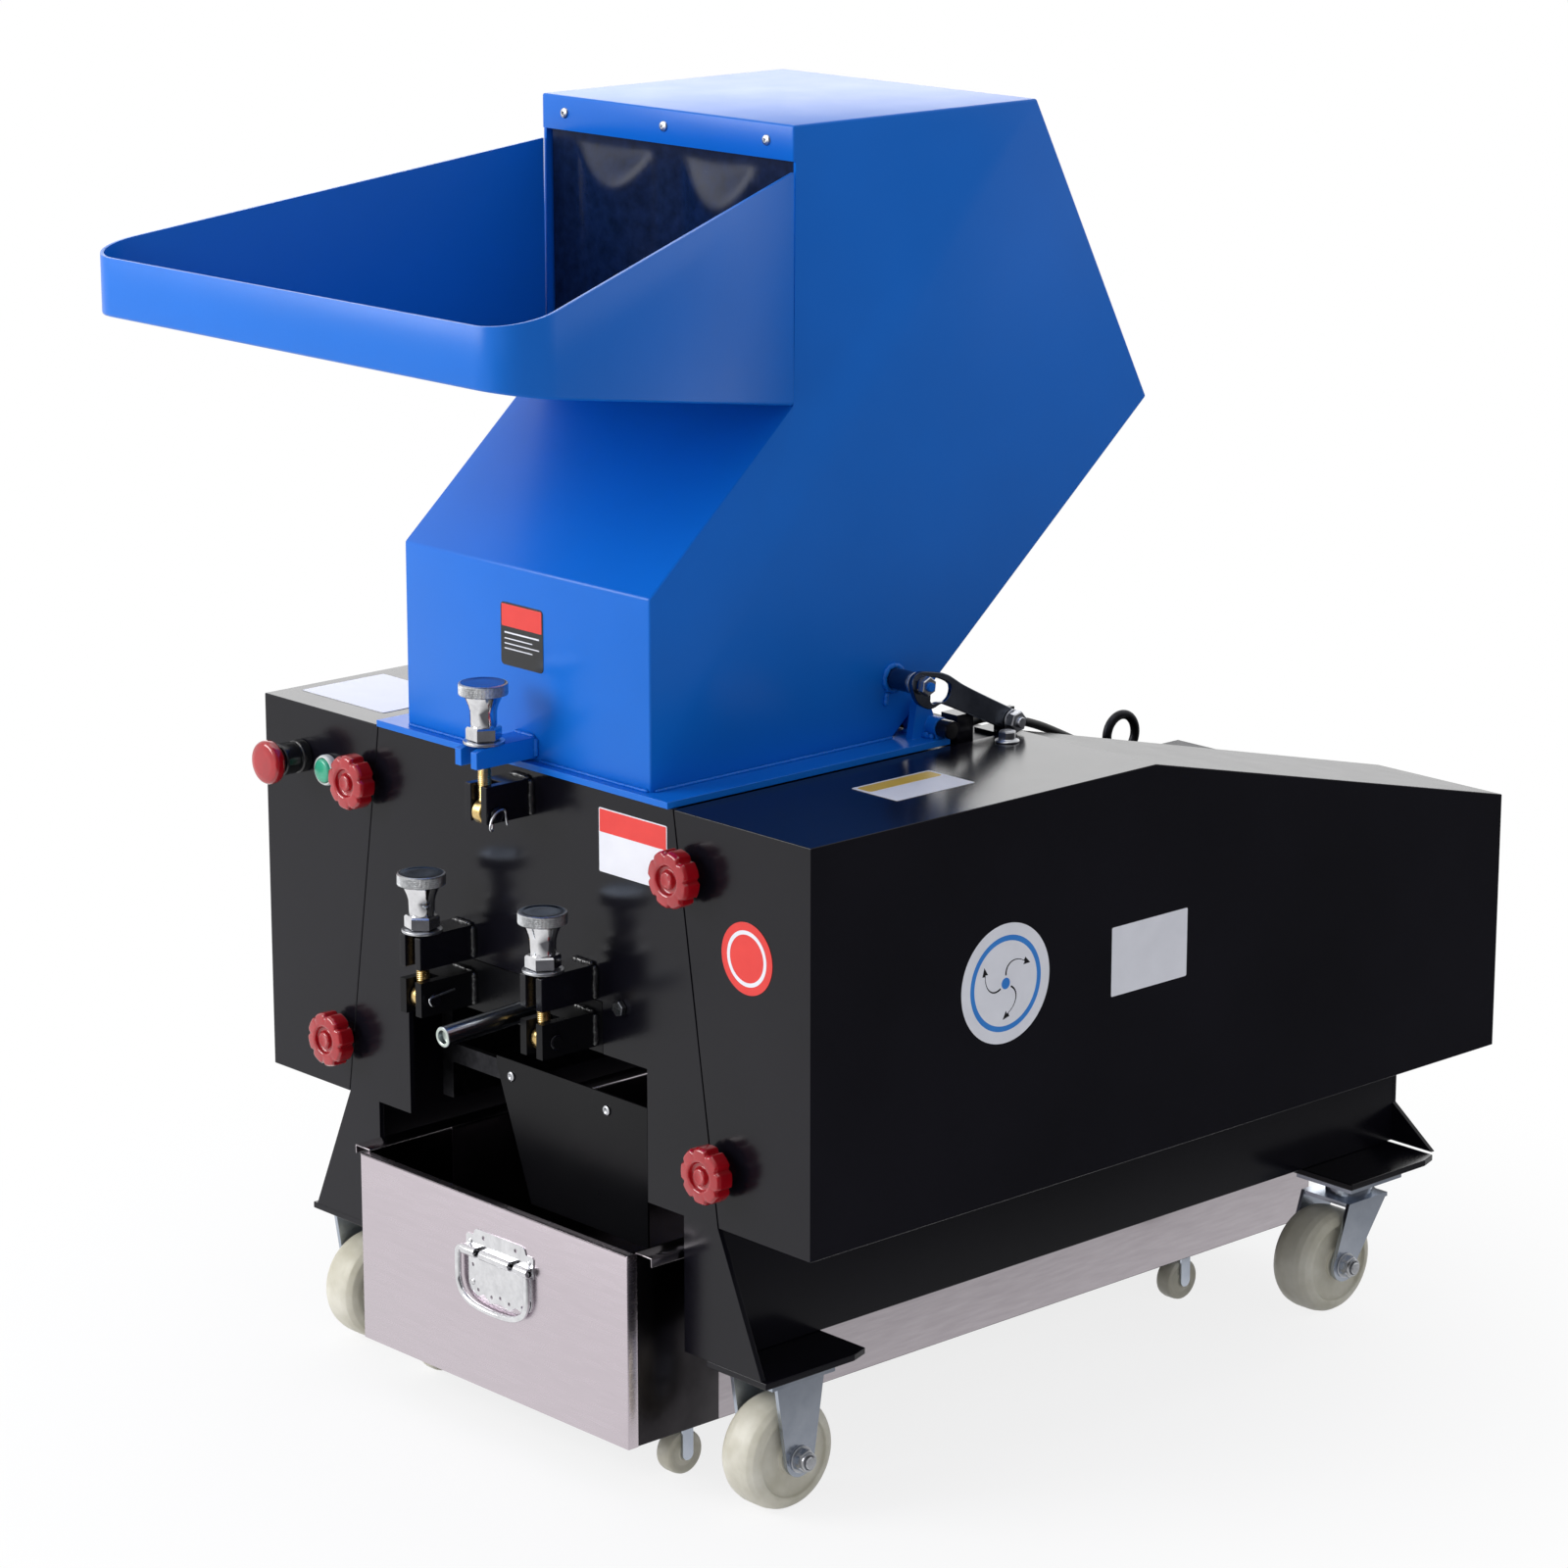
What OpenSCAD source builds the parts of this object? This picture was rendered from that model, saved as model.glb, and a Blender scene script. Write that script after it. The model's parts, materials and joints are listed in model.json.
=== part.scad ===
// Plastic granulator: hopper, knife chamber, belt drive, motor and a collecting bin on casters.
// Millimetres. X is across the machine, Y runs from front to back, Z is up from the floor.

/* [Body] */
// Width over the two side covers
body_w = 730; // [680:5:900]
// Depth from the front sheet to the rear sheet
body_d = 875; // [850:5:1000]
// Height of the flat top above the floor
body_h = 606; // [590:2:680]
// Height of the body's lower edge
body_low = 253; // [240:1:262]
// Depth at which the flat top turns down
ridge_y = 405; // [390:5:460]
// Height of the top at the rear end
tail_h = 496; // [490:2:560]
// Width between the side covers at the top
deck_w = 394; // [392:1:410]
// Width between the side covers at the lower edge
seam_w = 502; // [502:1:540]
// Thickness of the frame's front and rear sheets
panel_t = 5; // [4:0.5:8]
// Thickness of the frame's side plates
frame_t = 6; // [4:0.5:10]
// Width over the frame's side plates
side_w = 500; // [480:2:500]
// Length of the left cover, which ends behind the balance wheel
left_cover_l = 600; // [560:5:875]
// Thickness of the cover sheet
cover_t = 2.5; // [1.5:0.1:3]
// Seam between a cover and the frame sheet
seam_gap = 1; // [0.5:0.1:2]
// Width of the opening in the front sheet above the bin
opening_w = 324; // [300:2:350]
// Height of the top of that opening
opening_h = 372; // [350:1:376]

/* [Stand] */
// Width between the front legs
leg_inner_w = 416; // [412:2:440]
// Width over the front legs at their feet
leg_foot_w = 610; // [580:2:620]
// Height of the legs' lower edge
foot_h = 131; // [129:1:150]
// Thickness of the foot plates
foot_t = 6; // [4:0.5:8]
// Width over the foot plates
foot_w = 622; // [612:2:660]
// Length of a front foot plate
front_foot_l = 120; // [100:2:140]
// Length of a rear foot plate
rear_foot_l = 124; // [110:2:140]
// Distance from the rear foot plate to the rear sheet's face
rear_foot_inset = 9; // [6:1:30]

/* [Casters] */
// Diameter of a main wheel
wheel_d = 100; // [80:1:104]
// Width of a main wheel
wheel_w = 46; // [36:1:50]
// Distance between the left and right wheel centres
caster_track = 550; // [546:1:560]
// Depth of the front wheel centres
front_wheel_y = 45; // [42:1:60]
// Depth of the rear swivel axes
swivel_y = 780; // [770:2:800]
// Distance that a rear wheel trails its swivel axis
caster_trail = 37; // [25:1:38]
// Diameter of a main wheel's axle
axle_d = 12; // [8:1:16]
// Thickness of the fork sheet
fork_t = 4; // [3:0.5:5]

/* [Bin] */
// Width of the bin's body
bin_w = 366; // [340:2:370]
// Length of the bin
bin_l = 872; // [820:2:880]
// Distance that the bin stands out in front of the front sheet
bin_reach = 42; // [30:1:80]
// Height of the bin's floor
bin_floor_h = 45; // [44:1:60]
// Height of the bin's rim
bin_h = 220; // [200:1:221]
// Width of the rim's side flanges
bin_flange = 20; // [10:1:20]
// Thickness of the bin sheet
bin_t = 1.5; // [1:0.1:2.5]
// Diameter of a bin wheel
bin_wheel_d = 40; // [34:1:40]
// Width of a bin wheel
bin_wheel_w = 18; // [14:1:22]
// Offset of the bin's handle from its middle
bail_x = 8; // [-40:1:40]
// Width of the handle's wire bail
bail_w = 114; // [90:2:130]
// Drop of the bail below its hinge
bail_drop = 52; // [40:1:70]
// Diameter of the bail's wire
bail_d = 6; // [4:0.5:8]

/* [Chamber and rotor] */
// Width inside the knife chamber
chamber_w = 300; // [280:2:310]
// Depth of the chamber box's front face
chamber_y = 40; // [36:1:42]
// Length of the chamber box
chamber_l = 250; // [248:2:256]
// Thickness of the chamber's end plates
end_plate_t = 15; // [10:1:20]
// Thickness of the chamber's front and rear walls
chamber_wall_t = 20; // [14:1:21]
// Drop from the body top to the rotor axis
rotor_drop = 156; // [154:1:160]
// Diameter swept by the rotor's knives
swept_d = 200; // [180:1:201]
// Diameter of the rotor shaft
shaft_d = 45; // [35:1:50]
// Cutting gap between rotor knives and fixed knives
knife_gap = 0.6; // [0.3:0.1:1.5]
// Inside radius of the screen
screen_r = 105.5; // [103:0.5:106]
// Thickness of the screen sheet
screen_t = 3; // [2:0.5:4]
// Diameter of the screen's holes
screen_hole_d = 12; // [6:1:14]
// Outside diameter of the rotor's pulley
pulley_d = 260; // [200:2:270]
// Outside diameter of the balance wheel
balance_d = 280; // [200:2:286]

/* [Motor] */
// Depth of the motor's axis
motor_y = 747; // [740:1:752]
// Height of the motor's axis
motor_h = 380; // [378:1:392]
// Diameter of the motor's body over its fins
motor_d = 214; // [190:2:216]
// Diameter of the motor's shaft
motor_shaft_d = 28; // [24:1:38]
// Outside diameter of the motor's pulley
motor_pulley_d = 104; // [90:2:120]
// Number of belts
belt_count = 3; // [2:1:3]

/* [Hopper] */
// Width of the hopper
hopper_w = 325; // [320:1:360]
// Depth of the hopper's lower front face
hopper_y = 6; // [4:1:12]
// Height of the hopper's highest edge
hopper_h = 1154; // [1120:2:1240]
// Height at which the lower front face ends
neck_h = 777; // [740:1:800]
// Depth of the mouth's face
mouth_y = 168; // [150:1:180]
// Height of the mouth's lower edge
mouth_low = 919; // [900:1:940]
// Height of the band above the mouth
band = 35; // [25:1:45]
// Depth of the hopper's upper rear edge
crown_y = 455; // [440:1:480]
// Depth of the hopper's rear corner
rear_y = 600; // [560:1:610]
// Height of the hopper's rear corner
rear_h = 876; // [860:1:930]
// Thickness of the hopper sheet
hopper_t = 3; // [2:0.5:4]
// Width of the flange under the hopper
flange_w = 390; // [384:1:390]
// Thickness of that flange
flange_t = 6; // [5:0.5:8]
// Distance that the flange stands out in front of the front sheet
flange_reach = 4; // [2:1:8]
// Thickness of the mouth's curtain
curtain_t = 2; // [1:0.5:3]

/* [Tray] */
// Distance that the feed tray stands out in front of the front sheet
tray_reach = 240; // [200:5:300]
// Width of the tray's front edge
tray_w = 592; // [500:2:680]
// Height of the tray's front rim
tray_h = 1041; // [1030:1:1060]
// Height of the tray's lower front edge
tray_low = 991; // [980:1:1000]
// Height of the tray's rim where it meets the hopper
tray_rear_h = 1115; // [1090:1:1117]
// Radius of the tray's front corners
tray_corner_r = 40; // [20:1:60]

/* [Hopper hinge] */
// Depth of the hopper's hinge axis
hinge_y = 318; // [316:1:320]
// Diameter of the hinge barrels
barrel_d = 18; // [16:0.5:18]
// Diameter of the hinge rod
hinge_rod_d = 10; // [8:0.5:12]
// Depth of the stay arm's pivot
stay_y = 394; // [390:1:398]
// Distance from the stay's pivot to the hopper's stud
stay_reach = 119; // [117:1:121]
// Width of the stay arm's head
stay_head_w = 30; // [26:1:34]
// Diameter of the hopper's stud
stud_d = 9; // [6:0.5:10]

/* [Swing bolts] */
// Diameter of a swing bolt's shank
bolt_d = 12; // [10:0.5:12]
// Width over a forked lug
lug_w = 29; // [27:0.5:32]
// Width of a lug's slot
lug_slot = 13; // [12.5:0.1:14]
// Distance from the middle to the lower swing bolts
lug_x = 82; // [80:1:88]
// Reach of the lower lugs in front of the front sheet
lug_reach = 60; // [56:1:70]
// Diameter of a clevis pin
pin_d = 10; // [8:0.5:11]
// Outside diameter of a swing bolt's eye
eye_d = 22; // [18:0.5:24]
// Diameter of the washers
washer_d = 36; // [30:1:36]
// Thickness of the washers
washer_t = 2.5; // [1.5:0.1:4]
// Diameter of a hand nut's head
nut_head_d = 43; // [36:1:46]
// Height of a hand nut
nut_h = 50; // [40:1:60]
// Width across the flats of a hand nut's hexagon
nut_flats = 27; // [24:1:30]
// Lift of a hand nut that is undone before the bolt swings
nut_lift = 10; // [5:1:12]
// Diameter of the cradle's handle
handle_d = 18; // [14:1:20]
// Reach of the cradle's handle
handle_reach = 129; // [100:1:160]

/* [Knobs and buttons] */
// Diameter of a cover knob
knob_d = 50; // [40:1:56]
// Number of lobes on a cover knob
knob_lobes = 8; // [6:1:10]
// Distance from the seam to a cover knob's axis
knob_inset = 12; // [10:0.5:16]
// Drop from the body top to the upper cover knobs
knob_top_drop = 52.5; // [48:0.5:60]
// Height of the lower cover knobs above the lower edge
knob_low_rise = 52.6; // [40:0.2:70]
// Diameter of a cover knob's stud
knob_stud_d = 8; // [6:0.5:10]
// Diameter of the stop button's head
stop_d = 40; // [36:1:44]
// Distance from the middle to the stop button
stop_x = 309; // [304:1:320]
// Distance from the middle to the start button
start_x = 270; // [266:1:276]
// Drop from the body top to the buttons
button_drop = 51; // [45:1:60]

/* [Hidden] */
$fn = 48;

// Overrun of every cut
over = 1;
// Radial clearance of a shaft in its bore
fit_gap = 0.05;
// Gap between a moving piece and its seat
seat_gap = 0.3;
// Smallest cover of metal round a bolt or beside an edge
edge = 4;

// The frame's origin is in the middle of the whole machine's depth, on the floor
row_y = (body_d - tray_reach) / 2;

body_half = body_w / 2;
deck_half = deck_w / 2;
seam_half = seam_w / 2;
side_half = side_w / 2;
side_in = side_half - frame_t;
opening_half = opening_w / 2;
leg_in_half = leg_inner_w / 2;
leg_foot_half = leg_foot_w / 2;
rear_y0 = body_d - panel_t;

// Half-width of the seam between frame sheet and cover at height z
function seam_x(z) = seam_half + (deck_half - seam_half) * (z - body_low) / (body_h - body_low);
// Height of the sloping top at depth y
function top_z(y) = y < ridge_y ? body_h : body_h - (body_h - tail_h) * (y - ridge_y) / (body_d - ridge_y);

// The notch in the front sheet that the cradle's front plate fills
cradle_gap = 0.5;
cradle_plate_t = 8;
cradle_half = lug_x + lug_w / 2 + cradle_plate_t;
cradle_plate_h = 46;
cradle_top = opening_h + cradle_plate_h;

// Swing bolts: pin axes, tops of the clamped lugs
low_pin_inset = 14;
low_pin_y = low_pin_inset - lug_reach;
low_lug_rise = 5;
low_lug_z0 = opening_h + low_lug_rise;
low_pin_rise = 14;
low_pin_z = low_lug_z0 + low_pin_rise;
low_lug_h = 31;
lug_gap = 1;
high_lug_z0 = cradle_top + lug_gap;
high_lug_h = 31;
high_lug_top = high_lug_z0 + high_lug_h;
top_lug_reach = 50;
top_pin_inset = 10;
top_pin_y = top_pin_inset - top_lug_reach;
top_lug_drop = 41;
top_lug_z0 = body_h - top_lug_drop;
top_lug_h = 33;
top_pin_rise = 8;
top_pin_z = top_lug_z0 + top_pin_rise;
fork_lug_rise = 3;
fork_lug_z0 = body_h + flange_t + fork_lug_rise;
fork_lug_h = 18;
fork_lug_top = fork_lug_z0 + fork_lug_h;
fork_lug_reach = 60;
slot_clear = 2;
slot_back = eye_d / 2 + slot_clear;
eye_play = 1;
eye_w = lug_slot - eye_play;

// Knife chamber
chamber_half = chamber_w / 2;
chamber_y1 = chamber_y + chamber_l;
rotor_y = chamber_y + chamber_l / 2;
rotor_z = body_h - rotor_drop;
deck_drop = 4;
deck_t = 10;
deck_z = body_h - deck_drop - deck_t;
knife_bar_h = 16;
knife_rise = 14;
knife_z = rotor_z + knife_rise;
wall_z = knife_z + knife_bar_h;
swept_r = swept_d / 2;
fixed_r = swept_r + knife_gap;
knife_edge = sqrt(pow(fixed_r, 2) - pow(knife_rise, 2));
bearing_l = 40;
bearing_d = 96;
end_plate_rise = 9;
tie_drop = 58;
tie_z = opening_h - tie_drop;
tie_h = 18;
end_plate_low = min(body_low + end_plate_rise, tie_z - tie_h);

// Drive line, outside the frame's side plates
drive_gap = 12;
drive_x = side_half + drive_gap;
groove_pitch = 19;
groove_w = 14.2;
groove_depth = 12;
belt_w = 13;
belt_h = 9;
pulley_l = belt_count * groove_pitch;
drive_end = drive_x + pulley_l;

// Hopper hinge and stay
hinge_z = body_h + flange_t + barrel_d / 2;
barrel_x0 = 150;
barrel_x1 = 190;
rod_end_l = 14;
rod_end_x = barrel_x1 + rod_end_l;
stay_rise = 11;
stay_z = body_h + stay_rise;
stay_x = 195;
stay_t = 5;
stay_gap = 1;
pivot_d = 10;
stay_angle = 155.7;
stud_y = stay_y + stay_reach * cos(stay_angle);
stud_z = stay_z + stay_reach * sin(stay_angle);
stay_slot_l = 33;

// Rear foot of the hopper, above the flange
heel_inset = 33;
heel_y = hinge_y - heel_inset;
heel_reach = 20.5;
heel_y1 = heel_y + heel_reach;
heel_rise = 17;
heel_z1 = body_h + flange_t + heel_rise;

// Casters
wheel_z = wheel_d / 2;
caster_x = caster_track / 2;
fork_gap = 3;
fork_x = wheel_w / 2 + fork_gap;
fork_plate_z = foot_h - foot_t - fork_t;
rear_wheel_y = swivel_y - caster_trail;
fork_top_half = 27;
fork_end_r = 16;
crown_drop = 12;

// Bin
bin_half = bin_w / 2;
bin_y0 = -bin_reach;
bin_y1 = bin_y0 + bin_l;
bin_wheel_x = bin_half - bin_wheel_w;
bin_front_inset = 73;
bin_front_wheel_y = bin_y0 + bin_front_inset;
bin_rear_inset = 168;
bin_rear_wheel_y = bin_y1 - bin_rear_inset;
bail_hinge_drop = 48;
bail_z = bin_h - bail_hinge_drop;
bail_stand = 5;
bail_y = bin_y0 - bail_stand;

painted = [0.06, 0.06, 0.07];
blue = [0.10, 0.38, 0.86];
steel = [0.62, 0.63, 0.65];
bright = [0.80, 0.77, 0.78];
dark = [0.16, 0.16, 0.17];
brass = [0.78, 0.62, 0.28];
red = [0.72, 0.06, 0.10];
cream = [0.82, 0.79, 0.68];

// Moves a piece from the front sheet's plane to the frame's origin
module place() translate([0, -row_y, 0]) children();

// A box between two corners
module block(lo, hi) translate(lo) cube([hi[0] - lo[0], hi[1] - lo[1], hi[2] - lo[2]]);

// An outline of depth and height, extruded across the machine
module along_x(x0, x1, outline) translate([x0, 0, 0]) rotate([90, 0, 90])
    linear_extrude(x1 - x0) polygon(outline);

// An outline of width and height, extruded from front to back
module along_y(y0, y1, outline) translate([0, y1, 0]) rotate([90, 0, 0])
    linear_extrude(y1 - y0) polygon(outline);

// Round bars along each axis
module bar_x(x0, x1, y, z, d) translate([x0, y, z]) rotate([0, 90, 0]) cylinder(d = d, h = x1 - x0);
module bar_y(y0, y1, x, z, d) translate([x, y0, z]) rotate([-90, 0, 0]) cylinder(d = d, h = y1 - y0);
module bar_z(z0, z1, x, y, d) translate([x, y, z0]) cylinder(d = d, h = z1 - z0);

// A piece and its mirror image
module both_sides() {
    children();
    mirror([1, 0, 0]) children();
}

function unit(v) = v / norm(v);

// An outline drawn in by t, for points that run anticlockwise
function inset(p, t) = [
    for (i = [0:len(p) - 1])
        let (
            a = p[(i + len(p) - 1) % len(p)],
            b = p[i],
            c = p[(i + 1) % len(p)],
            u = unit(b - a),
            v = unit(c - b),
            m = [-u[1] - v[1], u[0] + v[0]]
        )
        b + m * t / (1 + u * v)
];

// Points of a rounded corner at b between a and c
function corner(a, b, c, r, n) =
    let (
        u = unit(a - b),
        v = unit(c - b),
        half = acos(u * v) / 2,
        o = b + unit(u + v) * r / sin(half),
        p = b + u * r / tan(half) - o,
        q = b + v * r / tan(half) - o,
        a0 = atan2(p[1], p[0]),
        turn = atan2(p[0] * q[1] - p[1] * q[0], p * q)
    )
    [for (i = [0:n]) o + r * [cos(a0 + turn * i / n), sin(a0 + turn * i / n)]];

// Front and rear sheets of the frame
sheet_half = [
    [0, body_h], [deck_half, body_h], [seam_half, body_low],
    [leg_foot_half, foot_h], [leg_in_half, foot_h], [leg_in_half, body_low],
    [opening_half, body_low], [opening_half, opening_h],
    [cradle_half + cradle_gap, opening_h], [cradle_half + cradle_gap, cradle_top + cradle_gap],
    [0, cradle_top + cradle_gap]
];

knob_top_z = body_h - knob_top_drop;
knob_low_z = body_low + knob_low_rise;
knob_top_x = seam_x(knob_top_z) + knob_inset;
knob_low_x = seam_x(knob_low_z) + knob_inset;
tab_h = 27;
tab_t = 6;

// A tab behind the front sheet that takes a cover knob's stud
module knob_tab(x, z) {
    difference() {
        block(
            [x - knob_inset - 2 * edge, panel_t, z - tab_h / 2],
            [x + knob_stud_d + edge, panel_t + tab_t, z + tab_h / 2]
        );
        bar_y(panel_t - over, panel_t + tab_t + over, x, z, knob_stud_d + 2 * fit_gap);
    }
}

module front_panel() color(painted) place() {
    both_sides() along_y(0, panel_t, sheet_half);
    both_sides() knob_tab(knob_top_x, knob_top_z);
    both_sides() knob_tab(knob_low_x, knob_low_z);
}

rear_top_drop = 66;
rear_top = tail_h - rear_top_drop;
gusset_h = 38;
louvre_w = 120;
louvre_h = 7;
louvre_pitch = 24;
louvres = 5;

module rear_panel() color(painted) place() {
    difference() {
        both_sides() along_y(rear_y0, body_d, [
            [0, rear_top], [seam_x(rear_top), rear_top], [seam_half, body_low], [side_half, body_low],
            [side_half, foot_h + gusset_h], [leg_foot_half - panel_t, foot_h], [leg_in_half, foot_h],
            [leg_in_half, body_low], [0, body_low]
        ]);
        for (i = [0:louvres - 1])
            block(
                [-louvre_w / 2, rear_y0 - over, body_low + louvre_pitch * (i + 2)],
                [louvre_w / 2, body_d + over, body_low + louvre_pitch * (i + 2) + louvre_h]
            );
    }
}

cover_clear = 12;
shaft_hole_play = 15;
shaft_hole_d = shaft_d + shaft_hole_play;
motor_hole_play = 22;
motor_hole_d = motor_shaft_d + motor_hole_play;

// Side plates, notched round the lower knob tabs; the motor's shaft leaves through the right one
module side_panels() color(painted) place() difference() {
    both_sides() difference() {
        along_x(side_in, side_half, [
            [panel_t, foot_h], [rear_y0, foot_h], [rear_y0, rear_top],
            [ridge_y, body_h - cover_clear], [panel_t, body_h - cover_clear]
        ]);
        bar_x(side_in - over, side_half + over, rotor_y, rotor_z, shaft_hole_d);
        block(
            [side_in - over, 0, knob_low_z - tab_h / 2 - seat_gap],
            [side_half + over, panel_t + tab_t + seat_gap, knob_low_z + tab_h / 2 + seat_gap]
        );
    }
    bar_x(side_in - over, side_half + over, motor_y, motor_h, motor_hole_d);
}

foot_inset = 8;
foot_in = side_in - foot_inset;
foot_half = foot_w / 2;
foot_chamfer = 6;

// A foot plate between two depths with its rear outer corner cut off
module foot_plate(y0, y1) translate([0, 0, foot_h - foot_t]) linear_extrude(foot_t) polygon([
    [foot_in, y0], [foot_half, y0], [foot_half, y1 - 3 * foot_chamfer],
    [foot_half - foot_chamfer, y1], [foot_in, y1]
]);

rear_foot_y1 = body_d - rear_foot_inset;

module foot_plates() color(painted) place() both_sides() {
    foot_plate(0, front_foot_l);
    foot_plate(rear_foot_y1 - rear_foot_l, rear_foot_y1);
}

cradle_pin_inset = 14;
cradle_pin_y = chamber_y1 - cradle_pin_inset;
cradle_pin_drop = 78;
cradle_pin_z = rotor_z - cradle_pin_drop;
cradle_pin_d = 14;
tie_t = 6;

module chamber_end_plates() color(dark) place() {
    both_sides() difference() {
        block(
            [chamber_half, chamber_y, end_plate_low],
            [chamber_half + end_plate_t, chamber_y1, body_h]
        );
        bar_x(chamber_half - over, chamber_half + end_plate_t + over, rotor_y, rotor_z, shaft_hole_d);
        bar_x(
            chamber_half - over, chamber_half + end_plate_t + over,
            cradle_pin_y, cradle_pin_z, cradle_pin_d + 2 * fit_gap
        );
    }
    block([-chamber_half, chamber_y, tie_z - tie_h], [chamber_half, chamber_y + tie_t, tie_z]);
}

chamber_out = chamber_half + end_plate_t;

module chamber_walls() color(dark) place() {
    block([-chamber_half, chamber_y, wall_z], [chamber_half, chamber_y + chamber_wall_t, body_h]);
    block([-chamber_half, chamber_y1 - chamber_wall_t, wall_z], [chamber_half, chamber_y1, body_h]);
    difference() {
        block([-side_in, panel_t, deck_z], [side_in, ridge_y, deck_z + deck_t]);
        block(
            [-chamber_out, chamber_y, deck_z - over],
            [chamber_out, chamber_y1, deck_z + deck_t + over]
        );
    }
}

knife_end_gap = 2;
knife_tip = 4;
knife_outline = [
    [knife_end_gap - chamber_l / 2, 0], [-knife_edge, 0], [-knife_edge, knife_tip],
    [-knife_edge - knife_tip, knife_bar_h], [knife_end_gap - chamber_l / 2, knife_bar_h]
];
knife_bolts = 4;
knife_bolt_d = 12;
knife_bolt_h = 6;

// One fixed knife with its bolt heads, in front of the rotor's axis
module fixed_knife() {
    bar_half = chamber_half - knife_end_gap;
    translate([0, rotor_y, knife_z]) along_x(-bar_half, bar_half, knife_outline);
    for (i = [0:knife_bolts - 1])
        translate([
            -bar_half + bar_half * (2 * i + 1) / knife_bolts,
            rotor_y - knife_edge - knife_tip - knife_bolt_d / 2,
            knife_z - knife_bolt_h
        ]) cylinder(d = knife_bolt_d, h = knife_bolt_h, $fn = 6);
}

module fixed_knives() color(steel) place() {
    fixed_knife();
    translate([0, 2 * rotor_y, 0]) mirror([0, 1, 0]) fixed_knife();
}

module bearing_housings() color(dark) place() both_sides() difference() {
    union() {
        bar_x(chamber_out, chamber_out + bearing_l / 2, rotor_y, rotor_z, bearing_d);
        bar_x(chamber_out, chamber_out + bearing_l, rotor_y, rotor_z, bearing_d - 6 * edge);
    }
    bar_x(chamber_out - over, chamber_out + bearing_l + over, rotor_y, rotor_z, shaft_d + 2 * fit_gap);
}

// Side outline of a lug that a washer rocks over: its front top follows the pin's circle
function lug_outline(reach, z0, z1, pin_y, pin_z, y1) =
    let (r = z1 - pin_z, a = asin((reach + pin_y) / r))
    concat(
        [[-reach, z0], [y1, z0], [y1, z1]],
        [for (i = [0:6]) [pin_y - r * sin(a * i / 6), pin_z + r * cos(a * i / 6)]]
    );

// A forked lug from its side outline, with the bolt's slot open to the front
module forked_lug(outline, reach, pin_y, z0, z1) difference() {
    along_x(-lug_w / 2, lug_w / 2, outline);
    block([-lug_slot / 2, -reach - over, z0 - over], [lug_slot / 2, pin_y + slot_back, z1 + over]);
}

// A forked lug with a clevis pin for the bolt's eye
module pin_lug(reach, pin_y, pin_z, z0, z1) {
    forked_lug([[-reach, z0], [0, z0], [0, z1], [-reach, z1]], reach, pin_y, z0, z1);
    bar_x(-lug_w / 2 - edge / 2, lug_w / 2 + edge, pin_y, pin_z, pin_d);
}

// The hopper carries the top bolt, so the top lug's pin ends at the sides of the bolt's slot
module frame_lugs() color(painted) place() {
    difference() {
        pin_lug(top_lug_reach, top_pin_y, top_pin_z, top_lug_z0, top_lug_z0 + top_lug_h);
        block(
            [-lug_slot / 2, top_pin_y - pin_d, top_pin_z - pin_d],
            [lug_slot / 2, top_pin_y + pin_d, top_pin_z + pin_d]
        );
    }
    both_sides() translate([lug_x, 0, 0]) forked_lug(
        lug_outline(lug_reach, high_lug_z0, high_lug_top, low_pin_y, low_pin_z, 0),
        lug_reach, low_pin_y, high_lug_z0, high_lug_top
    );
}

base_t = 8;
motor_foot_h = 5;
base_z = motor_h - motor_d / 2 - motor_foot_h;
base_reach = 127;
base_y0 = motor_y - base_reach;

module motor_base() color(painted) place() {
    block([-side_in, base_y0, base_z - base_t], [side_in, rear_y0, base_z]);
}

rotor_end_gap = 8;
rotor_half = chamber_half - rotor_end_gap;
rotor_core_r = swept_r * 0.62;
knife_t = 10;
knife_top = sqrt(pow(swept_r, 2) - pow(knife_t, 2));
knife_root = swept_r * 0.56;
seat_w = swept_r * 0.38;
seat_r = swept_r * 0.86;
rotor_arms = 3;
// Turn of the core's seam away from the seats
core_turn = 47;

module rotor() color(steel) place() translate([0, rotor_y, rotor_z]) {
    bar_x(-drive_end, drive_end, 0, 0, shaft_d);
    translate([-rotor_half, 0, 0]) rotate([90, 0, 90]) linear_extrude(2 * rotor_half) difference() {
        union() {
            rotate(core_turn) circle(r = rotor_core_r);
            for (i = [0:rotor_arms - 1])
                rotate(i * 360 / rotor_arms) translate([-seat_w, 0]) square([seat_w + knife_t, seat_r]);
        }
        for (i = [0:rotor_arms - 1])
            rotate(i * 360 / rotor_arms) translate([0, knife_root]) square([knife_t + over, swept_r]);
    }
}

module rotor_knives() color(bright) place() translate([0, rotor_y, rotor_z])
    for (i = [0:rotor_arms - 1])
        rotate([i * 360 / rotor_arms, 0, 0])
            block([-rotor_half, 0, knife_root], [rotor_half, knife_t, knife_top]);

// A grooved pulley on the X axis, from x0 outward
module grooved_pulley(d, bore) {
    rim = groove_pitch - groove_w;
    translate([drive_x, 0, 0]) rotate([0, 90, 0]) difference() {
        cylinder(d = d, h = pulley_l);
        for (i = [0:belt_count - 1])
            translate([0, 0, rim / 2 + i * groove_pitch]) difference() {
                cylinder(d = d + 2 * over, h = groove_w);
                translate([0, 0, -over]) cylinder(d = d - 2 * groove_depth, h = groove_w + 2 * over);
            }
        translate([0, 0, -over]) cylinder(d = bore, h = pulley_l + 2 * over);
    }
}

module rotor_pulley() color(dark) place() translate([0, rotor_y, rotor_z])
    grooved_pulley(pulley_d, shaft_d + 2 * fit_gap);

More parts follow.
